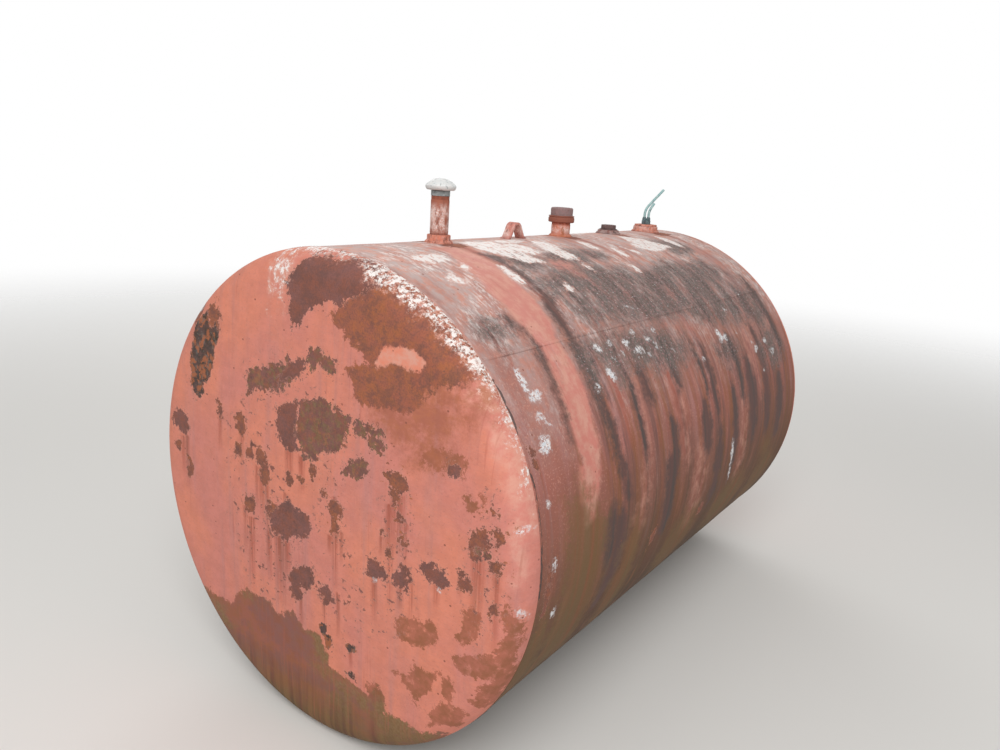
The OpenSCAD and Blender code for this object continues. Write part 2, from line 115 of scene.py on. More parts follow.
# Stains on the vent's end, and the painted highlight along its knuckle, as (across, up) from
# the tank's axis: a row of four numbers is the middle and half sizes of a blot, and a row of
# points is an outline.
NEAR_END = {
    "purple": [
        [(75, 520), (35, 575), (-5, 600), (-125, 602), (-200, 580), (-200, 555), (-125, 525),
         (-95, 500), (-45, 500), (-5, 475), (30, 440), (60, 425), (65, 485)],
        [(130, -50), (105, -20), (50, -5), (-15, -15), (-20, -40), (-5, -70), (50, -95),
         (65, -112), (95, -105), (135, -115)],
        [(100, 235), (75, 250), (35, 262), (30, 200), (30, 140), (70, 135), (100, 170)],
        [(65, 350), (10, 362), (-5, 345), (30, 315), (50, 305), (105, 265), (145, 262), (130, 300)],
        (20, -185, 34, 30), (40, -215, 20, 40), (-5, -180, 20, 26), (-62, -192, 24, 16),
        (-80, -212, 16, 14), (-228, -78, 32, 24), (-300, -82, 16, 18), (-318, -55, 14, 18),
        (-398, -30, 36, 18), (505, 95, 36, 34), (-420, 214, 16, 14)],
    "film": [
        [(-195, 580), (-260, 560), (-320, 525), (-375, 497), (-425, 460), (-465, 432),
         (-485, 395), (-430, 390), (-375, 375), (-335, 330), (-290, 300), (-225, 300),
         (-160, 295), (-125, 365),
         (-180, 395), (-140, 420), (-95, 445), (-70, 470), (-90, 505), (-140, 535)]],
    "haze": [
        [(-150, 330), (-190, 280), (-235, 240), (-300, 200), (-385, 205), (-440, 250), (-440, 310),
         (-500, 330), (-515, 400), (-420, 460), (-300, 420)]],
    "pox": [
        [(300, 160), (200, 190), (80, 150), (40, 60), (20, -60), (40, -200), (110, -300),
         (230, -270), (290, -120)],
        (-90, -40, 60, 190), (-280, -30, 60, 170), (-520, 20, 50, 190), (-150, -190, 160, 60),
        (100, 250, 150, 110)],
    "rust": [
        (-100, 30, 22, 22), (-95, -10, 9, 28), (-285, 145, 32, 26), (-280, 110, 14, 22),
        (-290, 70, 12, 14), (-504, 80, 26, 22), (-498, 55, 14, 20), (350, 400, 30, 42),
        (160, 85, 26, 22), (150, 50, 14, 26), (215, -50, 24, 22), (242, 152, 18, 24),
        (120, -45, 22, 26), (250, 85, 10, 16), (205, 95, 8, 20), (60, 60, 9, 12),
        (20, 70, 8, 10), (-30, 100, 10, 12), (-60, 62, 8, 8), (-470, -30, 10, 12),
        (-545, 40, 12, 14), (-520, 150, 12, 10), (330, 175, 8, 22), (470, -20, 8, 22),
        (-240, 20, 10, 8), (-262, -20, 10, 12), (-300, 20, 12, 10), (-460, -8, 8, 10),
        (520, 30, 10, 12), (430, 400, 26, 34), (-545, -60, 8, 16), (-548, 100, 10, 18)],
    "growth": [
        [(215, 275), (190, 300), (150, 310), (130, 335), (75, 340), (100, 275), (60, 300),
         (145, 258), (175, 255), (215, 235)],
        [(0, 360), (-5, 390), (-35, 395), (-50, 380), (-90, 375), (-90, 355), (-65, 345),
         (-35, 350), (-10, 330)],
        [(35, 262), (10, 270), (-65, 280), (-110, 265), (-142, 258), (-135, 190), (-95, 165),
         (-50, 155), (-35, 130), (5, 130), (30, 150)],
        [(-110, 130), (-135, 155), (-175, 180), (-200, 180), (-190, 140), (-150, 120), (-120, 113)],
        (-170, 235, 18, 18), (-215, 215, 28, 18), (-195, 240, 40, 8), (-515, 62, 14, 8)],
    "island": [
        [(-195, 395), (-230, 430), (-280, 447), (-315, 438), (-342, 415), (-325, 392),
         (-275, 402), (-205, 380)]],
    "scab": [
        [(415, 392), (380, 420), (365, 380), (335, 395), (330, 360), (345, 330), (360, 270),
         (400, 215), (395, 190), (430, 175), (460, 220), (455, 310), (440, 360)],
        (-60, -295, 12, 18), (-75, -325, 16, 22), (-150, -309, 17, 15), (-145, -380, 13, 12)],
    "bruise": [
        [(-435, -210), (-470, -185), (-545, -160), (-567, -180), (-560, -215), (-540, -235),
         (-470, -230)],
        [(-285, -178), (-325, -160), (-395, -145), (-405, -190), (-340, -215), (-300, -225)],
        [(-480, -80), (-505, -70), (-520, -95), (-505, -120), (-480, -160), (-455, -150)],
        [(-280, -315), (-325, -295), (-345, -260), (-375, -270), (-415, -260), (-395, -300),
         (-350, -355), (-315, -335)],
        [(-395, -360), (-415, -330), (-460, -325), (-490, -335), (-450, -380), (-390, -410)],
        [(-560, -60), (-575, -20), (-590, -90), (-585, -190), (-560, -260), (-520, -330),
         (-500, -300), (-545, -220), (-560, -130)],
        (-475, 150, 20, 18), (-505, 165, 10, 22), (-400, 228, 60, 26), (-225, -400, 24, 24),
        (-440, -290, 16, 30)],
    "wet": [
        [(205, -296), (140, -305), (55, -292), (0, -330), (-50, -395), (50, -425), (150, -400),
         (225, -350)], (190, -470, 150, 34), (-10, -455, 90, 22)],
    "damp": [
        [(310, -372), (285, -345), (235, -303), (205, -300), (140, -305), (125, -335),
         (55, -292), (10, -325), (-45, -312), (-62, -345), (-75, -390), (-135, -398),
         (-200, -412), (-240, -378), (-262, -400), (-255, -440), (-330, -440), (-420, -430),
         (-420, -640), (480, -640), (480, -370)]],
    # The first two white outlines run along the knuckle: white flakes of primer and a painted
    # highlight on the rounded edge
    "white": [
        [(120, 592), (40, 609), (-60, 612), (-160, 606), (-160, 594), (-60, 602), (40, 594)],
        [(-140, 610), (-240, 598), (-335, 564), (-425, 505), (-500, 436), (-556, 354),
         (-594, 265), (-612, 160), (-596, 160), (-562, 240), (-524, 318), (-466, 390),
         (-396, 454), (-306, 512), (-220, 552), (-145, 578)],
        (118, 545, 4, 34), (98, 540, 3, 28), (136, 516, 3, 26), (80, 556, 3, 20)],
    # The last pale outline runs along the knuckle: a pinkish painted highlight on the rounded edge
    "pale": [
        (116, 540, 14, 48), (96, 535, 11, 42), (136, 515, 11, 38), (60, 560, 12, 30),
        [(-130, 600), (-240, 590), (-340, 545), (-430, 480), (-500, 405), (-550, 320),
         (-585, 230), (-600, 120), (-600, 0), (-575, 0), (-570, 120), (-545, 210), (-500, 300),
         (-440, 375), (-370, 435), (-290, 490), (-200, 535), (-120, 560)]],
    "chip": [
        (-232, -104, 10, 5), (-398, -56, 5, 4),
        (-585, 120, 4, 7), (430, 420, 12, 16), (-592, -60, 3, 6)],
}
# Rust that has run down the vent's end: across, top, bottom, half width
NEAR_RUNS = [
    (-500, 60, -120, 11), (-100, -5, -170, 7), (-82, -40, -90, 5), (95, -100, -290, 14),
    (70, -105, -210, 9), (135, -100, -240, 7), (205, -85, -300, 9), (-225, -95, -210, 7),
    (-285, 120, -20, 14), (-262, 90, -60, 8), (-300, -95, -150, 6), (480, 65, -90, 8),
    (500, 60, -60, 6), (-398, -50, -110, 6), (-548, 30, -160, 6), (-62, -205, -290, 5),
    (-150, -320, -370, 5), (60, 140, 40, 10), (15, 130, 30, 8), (160, 60, -80, 8),
    (240, 130, 40, 6), (-460, -10, -60, 5), (330, 170, 60, 5), (-240, 10, -40, 4),
    (180, 60, -60, 4), (140, 40, -130, 4), (110, -20, -170, 4), (75, 20, -90, 4),
    (-95, 60, -150, 5), (-270, 0, -160, 5), (-110, -180, -300, 5), (230, -60, -200, 5),
    (20, -240, -330, 5), (-330, -60, -170, 4), (-310, 60, -40, 4), (-120, -20, -100, 4)]
# The other end has stains of the same kinds, in places of its own, and the same painted
# highlight along its knuckle
FAR_END = {
    "purple": [
        [(-60, 500), (-20, 560), (70, 596), (170, 585), (210, 540), (150, 500), (90, 510),
         (40, 450), (-10, 430)], (300, -60, 40, 30), (-160, 90, 60, 40), (-420, -40, 30, 22),
        (90, -180, 34, 24)],
    "rust": [
        [(205, 560), (330, 520), (440, 430), (470, 340), (400, 300), (320, 330), (250, 300),
         (160, 340), (150, 440), (90, 470), (120, 520)], (-330, 220, 36, 22),
        (-60, -30, 24, 20), (210, 120, 18, 26), (-210, -150, 20, 18), (440, 60, 16, 24),
        (20, 250, 26, 16), (-470, 180, 12, 20)],
    "growth": [(-150, 110, 36, 30), (60, 210, 60, 34), (110, 180, 30, 30)],
    "bruise": [(420, -210, 70, 30), (340, -320, 50, 44), (-300, -260, 60, 34)],
    "damp": [
        [(-460, -380), (-380, -330), (-250, -350), (-120, -330), (0, -380), (120, -370),
         (240, -420), (380, -410), (450, -430), (480, -640), (-480, -640)]],
    "scab": [(-440, 260, 34, 70), (-60, -300, 14, 12)],
    "pox": [(120, -60, 220, 160), (-300, 80, 120, 160), (440, -40, 80, 160)],
    "haze": [(380, 260, 90, 60)],
    # The knuckle's white and pale painted highlight, mirrored from the vent's end
    "white": [[(-across, up) for across, up in NEAR_END["white"][1]]],
    "pale": [[(-across, up) for across, up in NEAR_END["pale"][-1]]],
}
# Small spots of the vent's end come again, mirrored and turned over, some of them with a run
FAR_END["rust"] += [(-across, 60 - up, wide, high) for across, up, wide, high in NEAR_END["rust"]
                    if abs(across) < 480 and high < 24]
FAR_RUNS = [(-across, 60 - up, -60 - up, wide / 2)
            for across, up, wide, high in NEAR_END["rust"][:9]]
FAR_RUNS += [(300, -80, -260, 12), (-160, 60, -120, 9), (-420, -60, -190, 8), (90, -195, -300, 8),
             (-60, -40, -190, 7), (440, 40, -90, 7), (210, 100, -40, 8), (-330, 205, 60, 8)]
# Stains on the shell, as (along, girth from the crown towards -Y). The side towards +Y has the
# same stains, turned half round the upright, so that they don't mirror each other.
SHELL_STAINS = {
    "pale": [
        [(-640, 60), (-606, 105), (-657, 238), (-674, 325), (-677, 401), (-675, 468),
         (-669, 530), (-685, 582), (-695, 645), (-690, 737), (-709, 834), (-690, 900),
         (-650, 880), (-632, 840), (-606, 758), (-591, 668), (-583, 602), (-576, 547),
         (-585, 483), (-555, 420), (-544, 343), (-539, 253), (-490, 122), (-520, 60)],
        (-250, 250, 60, 60)],
    "rosy": [
        [(-460, 980), (-380, 760), (-360, 520), (-320, 520), (-330, 760), (-400, 1000)],
        (560, 620, 36, 160), (-30, 1000, 60, 140), (330, 900, 40, 180), (-140, 760, 40, 150),
        (700, 620, 70, 120), (480, 700, 36, 130)],
    "dark": [
        [(-505, 130), (-462, 150), (-468, 360), (-505, 470), (-512, 640), (-505, 760),
         (-462, 900), (-500, 910), (-545, 780), (-556, 640), (-550, 470), (-512, 350)],
        [(-715, 380), (-697, 380), (-670, 460), (-668, 545), (-688, 640), (-700, 700),
         (-715, 690), (-702, 630), (-690, 545), (-692, 460)],
        (-520, 1010, 40, 110), (-545, 1120, 26, 60), (112, 700, 22, 120), (60, 660, 16, 90),
        (-210, 840, 24, 100),
        (20, 840, 34, 90), (252, 890, 22, 160), (-240, 960, 36, 120),
        (-575, 965, 34, 80), (420, 820, 40, 150),
        (560, 780, 30, 200), (700, 900, 40, 130), (336, 700, 24, 120), (-300, 640, 26, 60),
        (-120, 620, 26, 80), (120, 980, 30, 140), (-380, 700, 14, 120), (780, 560, 24, 160)],
    "olive": [
        [(-770, 820), (-700, 800), (-640, 860), (-600, 900), (-590, 1100), (-600, 1300),
         (-790, 1300), (-780, 1050)],
        (-440, 1150, 60, 180), (-60, 1180, 120, 120), (350, 1180, 160, 110), (620, 1040, 60, 40),
        (700, 1200, 120, 120), (-840, 1180, 50, 160)],
    "mildew": [
        [(-460, 300), (-330, 250), (-160, 240), (20, 270), (140, 300), (330, 280), (600, 300),
         (760, 420), (790, 560), (700, 640), (600, 570), (420, 575), (260, 540), (140, 500),
         (-60, 500), (-200, 485), (-330, 470), (-430, 440)],
        [(-500, 500), (-360, 490), (-200, 500), (-40, 520), (40, 600), (-100, 640),
         (-300, 600), (-440, 620)],
        (690, 690, 120, 70), (-785, 415, 50, 34), (-380, 200, 90, 60),
        (-120, 200, 160, 50), (-520, 560, 30, 60), (300, 640, 90, 40), (560, 190, 120, 70)],
    "white": [
        [(-445, 20), (-325, 30), (-330, 125), (-320, 210), (-380, 212), (-435, 165), (-465, 105)],
        [(-155, 40), (-100, 70), (-140, 205), (-190, 215), (-215, 150)],
        [(400, 50), (515, 165), (540, 205), (370, 220), (305, 180)],
        [(210, 160), (265, 215), (235, 222)],
        (-295, 120, 42, 50), (-250, 40, 60, 30), (-150, 258, 10, 20), (90, 298, 12, 24),
        (-360, 334, 10, 14), (-700, 140, 60, 20), (-640, 200, 24, 14), (-740, 250, 26, 18),
        (-520, 250, 12, 40), (60, 130, 20, 40), (150, 200, 16, 36), (620, 150, 30, 50)],
    "chip": [
        (-788, 540, 15, 26), (-772, 582, 19, 12), (-784, 628, 14, 12), (-765, 648, 8, 8),
        (-800, 686, 13, 17), (-445, 596, 13, 14), (-527, 618, 11, 8), (298, 596, 34, 7),
        (538, 672, 16, 8), (235, 960, 8, 40), (250, 1040, 8, 30), (-838, 800, 5, 8),
        (-822, 940, 8, 10), (-795, 1060, 10, 12), (560, 760, 11, 7), (100, 640, 10, 6),
        (-260, 560, 20, 6), (-80, 590, 12, 6), (-160, 430, 16, 5), (430, 520, 13, 6),
        (620, 470, 15, 6),
        (-440, 522, 15, 8), (-375, 512, 10, 6), (-300, 532, 17, 8), (-235, 506, 12, 6),
        (-180, 540, 15, 7), (-118, 520, 9, 6), (272, 582, 18, 8), (680, 700, 22, 9),
        (645, 660, 14, 8), (420, 600, 9, 6), (520, 640, 8, 6), (-400, 560, 7, 5),
        (-340, 556, 6, 5), (-210, 580, 8, 5), (-150, 566, 6, 5), (330, 610, 8, 5)],
    "crack": [[(-879.5, 520), (-876.5, 520), (-876.5, 990), (-879.5, 990)]],
    "rust": [(-507, 55, 40, 30), (104, 40, 34, 36), (-845, 1000, 10, 60), (-850, 700, 7, 30),
             (733, 70, 50, 30), (431, 60, 30, 24), (-300, 1060, 12, 20), (60, 1100, 14, 18)],
}
SHELL_RUNS = [(-507, 60, 420, 12), (104, 60, 330, 10), (431, 60, 380, 12), (733, 70, 460, 14),
              (-450, 600, 780, 8), (-845, 700, 1000, 6), (250, 700, 980, 8), (560, 760, 960, 9),
              (-160, 640, 900, 9), (-163, 40, 260, 8)]
# A piece carries every field, as a field that is missing would read as stained all over
FIELDS = sorted({*NEAR_END, *FAR_END, *SHELL_STAINS})
# How far from a stain's edge its field still tells the depth, and how far both sides' stains
# stay from the crown's middle, in mm
REACH, PARTING = 60.0, 20
# How a stain's edge wanders: size of the waves and how far they go in mm, and their layer
WANDER = ((55, 12, 3.0), (18, 4, 9.0))


class TankSizes(bpy.types.PropertyGroup):
    """Sizes of the tank's plates and fine pieces."""
    plate: length("Plate", 4.8, "Thickness of the shell and ends")
    knuckle: length("Knuckle", 60, "Radius of each end's rounded corner")
    dish: length("Dish", 12400, "Radius of each end's shallow dish")
    flange: length("Flange", 4.5, "Straight flange of each end")
    waviness: length("Waviness", 1.6, "Depth of the plates' soft waves")
    end_wave: length("End waves", 260, "Size of the soft waves in the ends")
    shell_wave: length("Shell waves", 190, "Size of the soft waves in the shell")
    wave_fade: length("Wave fade", 80, "How far from its ends the shell's waves fade out")
    seam_gap: length("Seam gap", 3, "Gap that a butt weld fills")
    seam_width: length("Seam width", 8, "Width of a butt weld's bead")
    seam_rise: length("Seam rise", 1.4, "Height of a butt weld's bead")
    seam_turn: angle("Seam turn", 45, "Turn of the lengthwise seam from the crown")
    weld_leg: length("Weld leg", 6.65, "Leg of the welds round the fittings")
    ripple: length("Ripple", 9, "Distance between ripples of a seam, coarse so that they show")
    ring_ripple: length("Ring ripple", 5.58, "Distance between ripples round a fitting")
    ripple_depth: FloatProperty(name="Ripple depth", subtype="FACTOR", default=0.45,
                                description="Share of a seam's height that its ripples take")
    thread: length("Thread", 2.2, "Pitch of the pipe threads")
    thread_depth: length("Thread depth", 1, "Depth of the pipe threads")
    vent_wall: length("Vent wall", 3.7, "Wall of the vent's pipe")
    fill_wall: length("Fill wall", 3.9, "Wall of the fill pipe")
    wire: length("Gauze wire", 0.45, "Thickness of the gauze's wires, coarse so that they show")
    lug_rise: length("Lug height", 47, "Height of the lifting lug")
    lug_bend: length("Lug bend", 22, "Outer radius of the lug's bend")
    lug_plate: length("Lug strap", 7, "Thickness of the lug's strap")
    lug_width: length("Lug width", 30, "Width of the lug's strap")
    lug_lean: angle("Lug lean", 30, "Lean of the lug's legs")
    plug_bore: length("Plug thread", 29.5, "Radius of the plug's thread")
    plug_flats: length("Plug hexagon", 46, "Plug's hexagon, from flat to flat")
    bushing_bore: length("Bushing thread", 36.4, "Radius of the bushing's thread")
    bushing_flats: length("Bushing hexagon", 74, "Bushing's hexagon, from flat to flat")
    twin_flats: length("Twin fitting", 31, "Twin fitting's hexagon, from flat to flat")
    twin_turn: angle("Twin fitting turn", 35, "Turn of the twin fitting and its nuts")
    nut_flats: length("Tube nut", 14.5, "Tube nuts' hexagon, from flat to flat")
    tube_radius: length("Tube radius", 4.75, "Outer radius of the copper tubes")
    tube_wall: length("Tube wall", 1, "Wall of the copper tubes")
    tube_rise: length("Tube rise", 8, "Straight tube above each nut")
    tube_bend: length("Tube bend", 50, "Bend radius of the copper tubes")
    tube_heading: angle("Tube heading", -30, "Lean of the tubes in plan")
    supply_bend: angle("Supply bend", 45, "How far the supply tube bends over")
    supply_run: length("Supply run", 86, "Straight end of the supply tube")
    return_bend: angle("Return bend", 36, "How far the return tube bends over")
    return_run: length("Return run", 18, "Straight end of the return tube")
    round_steps: count("Steps round", 400, "Steps of the plates round the tank")
    shell_steps: count("Steps along", 170, "Steps of the shell along the tank")
    seam_steps: count("Seam steps", 420, "Steps of the lengthwise seam")
    bead_steps: count("Bead steps", 1440, "Steps of the end seams round the tank")
    ring_steps: count("Ring steps", 296, "Steps of the welds round the fittings")


class TankColours(bpy.types.PropertyGroup):
    """Colours of the tank's finishes."""
    end_paint: tint("End paint", "#DB856B", "Red oxide paint on the ends")
    end_cool: tint("Faded end paint", "#CF8072", "The same paint where it has faded")
    # The shell's two paint colours are darker than the ends' partly from weathering and partly as
    # painted shade of the shell's side
    shaded_side_paint: tint("Side paint", "#A16052", "Red oxide paint on the shell")
    shaded_dull_side_paint: tint("Dull side paint", "#8E564A", "The same paint where it is dull")
    # Fresh paint also lays the painted highlights: along the ends' knuckles and on the lips of
    # breaks in the paint
    fresh: tint("Fresh paint", "#D59A88", "Chalky pale pink paint")
    lavender: tint("Grey bloom", "#A87C7B", "Grey bloom in the runs of water")
    bruise: tint("Bruise", "#A05C46", "Brown that shows through the paint")
    purple: tint("Old rust", "#84564F", "Dense purple-brown rust")
    orange: tint("Orange rust", "#A5613F", "Bright rust")
    brown: tint("Brown rust", "#8A5242", "Dull rust")
    rusty: tint("Rusty streak", "#845030", "Brown of thin rust that has run over paint")
    drip: tint("Drip", "#A0503D", "Red brown of a fresh run of rust")
    olive: tint("Algae brown", "#705833", "Olive brown growth on rust")
    ash: tint("Ash", "#C2B0AB", "Grey chalk on the crown")
    lichen: tint("Lichen", "#84724F", "Grey-green growth on rust")
    soil: tint("Soil", "#42301F", "Dark soil along the belly")
    mildew: tint("Mildew", "#69615B", "Grey-black mildew")
    murk: tint("Dark streak", "#573A35", "Purple brown of a long-wet streak")
    soot: tint("Black stain", "#433936", "Blackened bare steel")
    white: tint("White primer", "#EFE6E1", "White flakes of old primer")
    chip: tint("Chip", "#CBD1D8", "Bluish chips")
    hood: tint("Hood", "#D3D6D5", "Cast alloy of the hood")
    neck: tint("Neck", "#7C8181", "Cast alloy of the vent's neck")
    iron: tint("Cap iron", "#85706E", "Old iron of the fill cap")
    plug: tint("Plug iron", "#5F4542", "Old iron of the plug")
    brass: tint("Old brass", "#4E5256", "Blackened brass")
    copper: tint("Patina", "#8FB3B4", "Patina on copper")
    copper_pale: tint("Pale patina", "#CFE0D8", "Chalky patina")
    floor: tint("Floor", "#E4E2DE", "Studio floor")


class TankStage(bpy.types.PropertyGroup):
    """Camera and lamps."""
    eye: FloatVectorProperty(name="Eye", description="Place of the camera", unit="LENGTH",
                             default=(-2.1404, -1.3505, 1.4073))
    yaw: angle("Yaw", 34.64, "Heading of the camera")
    pitch: angle("Pitch", -14.32, "Tilt of the camera")
    roll: angle("Roll", 3.65, "Roll of the camera")
    lens: FloatProperty(name="Lens", description="Focal length in mm", default=28.8)
    sky: FloatProperty(name="Sky", description="Strength of the even light", default=0.5)
    key: FloatProperty(name="Key", description="Power of the main lamp", unit="POWER",
                       default=230)
    key_place: FloatVectorProperty(name="Key place", description="Place of the main lamp",
                                   unit="LENGTH", default=(-4.2, -2.6, 4.6))
    fill: FloatProperty(name="Fill", description="Power of the second lamp", unit="POWER",
                        default=60)
    fill_place: FloatVectorProperty(name="Fill place", description="Place of the second lamp",
                                    unit="LENGTH", default=(3.4, 3.6, 3.4))
    lamp: length("Lamp", 4000, "Width of each lamp")
    floor: length("Floor", 14000, "Radius of the floor")
    fade_from: length("Fade from", 2200, "Distance at which the floor starts to fade out")
    fade_to: length("Fade to", 9000, "Distance at which the floor has faded out")


def put(name, data):
    """Puts a new object into the scene."""
    made = bpy.data.objects.new(name, data)
    bpy.context.scene.collection.objects.link(made)
    return made


def add(tree, kind, inputs=None, out=0, **settings):
    """Adds a node with its settings, values and links, and gives one of its outputs."""
    made = tree.nodes.new("ShaderNode" + kind)
    for name, value in settings.items():
        setattr(made, name, value)
    for key, value in (inputs or {}).items():
        if isinstance(value, bpy.types.NodeSocket):
            tree.links.new(value, made.inputs[key])
        else:
            made.inputs[key].default_value = value
    return made.outputs[out]


class Finish:
    """A surface that is built up in coats of colour, roughness and height in mm."""

    def __init__(self, name, colour, rough, flow=False):
        self.material = bpy.data.materials.new(name)
        self.material.use_nodes = True
        self.tree = self.material.node_tree
        self.tree.nodes.clear()
        self.place = add(self.tree, "TexCoord", out="Object")
        self.flow = add(self.tree, "UVMap", uv_map="flow") if flow else self.place
        self.colour, self.rough, self.height = colour, rough, 0.0

    def scaled(self, size):
        """Places with a real size in mm as their unit: two sizes are along the tank and down
        with the flow of water, and three are along the axes."""
        along = self.flow if len(size) == 2 else self.place
        scale = [1 / (s * MM) for s in (*size, 1)[:3]]
        return add(self.tree, "Mapping", {"Vector": along, "Scale": scale})

    def grain(self, size, low, high, detail=5, crisp=0.6):
        """Mottling whose features have a real size in mm: 1 above high and 0 below low."""
        speck = add(self.tree, "TexNoise", {"Vector": self.scaled(size), "Scale": 1.0,
                                            "Detail": detail, "Roughness": crisp})
        return add(self.tree, "MapRange", {0: speck, 1: low, 2: high},
                   interpolation_type="SMOOTHSTEP")

    def spots(self, size, radius):
        """Scattered spots: 1 inside a radius that is a share of the spots' spacing in mm."""
        far = add(self.tree, "TexVoronoi", {"Vector": self.scaled(size), "Scale": 1.0,
                                            "Randomness": 1.0})
        return add(self.tree, "MapRange", {0: far, 1: radius, 2: radius * 0.6},
                   interpolation_type="SMOOTHSTEP")

    def ramp(self, axis, start, stop):
        """0 before one place along an axis and 1 past another, in mm."""
        part = add(self.tree, "SeparateXYZ", {0: self.place}, out="XYZ".index(axis))
        return add(self.tree, "MapRange", {0: part, 1: start * MM, 2: stop * MM})

    def stain(self, field, edge, ragged, soft, grow=0.0):
        """Where a painted field is above zero, with an edge that is ragged by some mm."""
        depth = add(self.tree, "Attribute", attribute_name=field, out="Fac")
        shift = add(self.tree, "Math", {0: edge, 1: 2 * ragged, 2: grow - ragged},
                    operation="MULTIPLY_ADD")
        depth = add(self.tree, "Math", {0: depth, 1: shift}, operation="ADD")
        return add(self.tree, "MapRange", {0: depth, 1: -soft, 2: soft},
                   interpolation_type="SMOOTHSTEP")

    def coat(self, *masks, colour=None, rough=None, rise=0.0, share=1.0):
        """Lays a coat where all the masks are 1. A colour may be two colours and a mask that says
        where the second one shows."""
        mask = share
        for each in masks:
            mask = add(self.tree, "Math", {0: mask, 1: each}, operation="MULTIPLY")
        if isinstance(colour, tuple):
            colour = add(self.tree, "Mix", {0: colour[2], 6: colour[0], 7: colour[1]}, out=2,
                         data_type="RGBA")
        if colour is not None:
            self.colour = add(self.tree, "Mix", {0: mask, 6: self.colour, 7: colour}, out=2,
                              data_type="RGBA")
        if rough is not None:
            self.rough = add(self.tree, "Mix", {0: mask, 2: self.rough, 3: rough})
        if rise:
            self.height = add(self.tree, "Math", {0: mask, 1: rise, 2: self.height},
                              operation="MULTIPLY_ADD")
        return mask

    def done(self, **shader):
        """Ends the surface in its shader, with the height as a bump of real depth."""
        surface = {"Base Color": self.colour, "Roughness": self.rough, **shader}
        surface["Normal"] = add(self.tree, "Bump", {"Strength": 1.0, "Distance": MM,
                                                    "Height": self.height})
        shade = add(self.tree, "BsdfPrincipled", surface)
        end = self.tree.nodes.new("ShaderNodeOutputMaterial")
        self.tree.links.new(shade, end.inputs["Surface"])
        return self.material


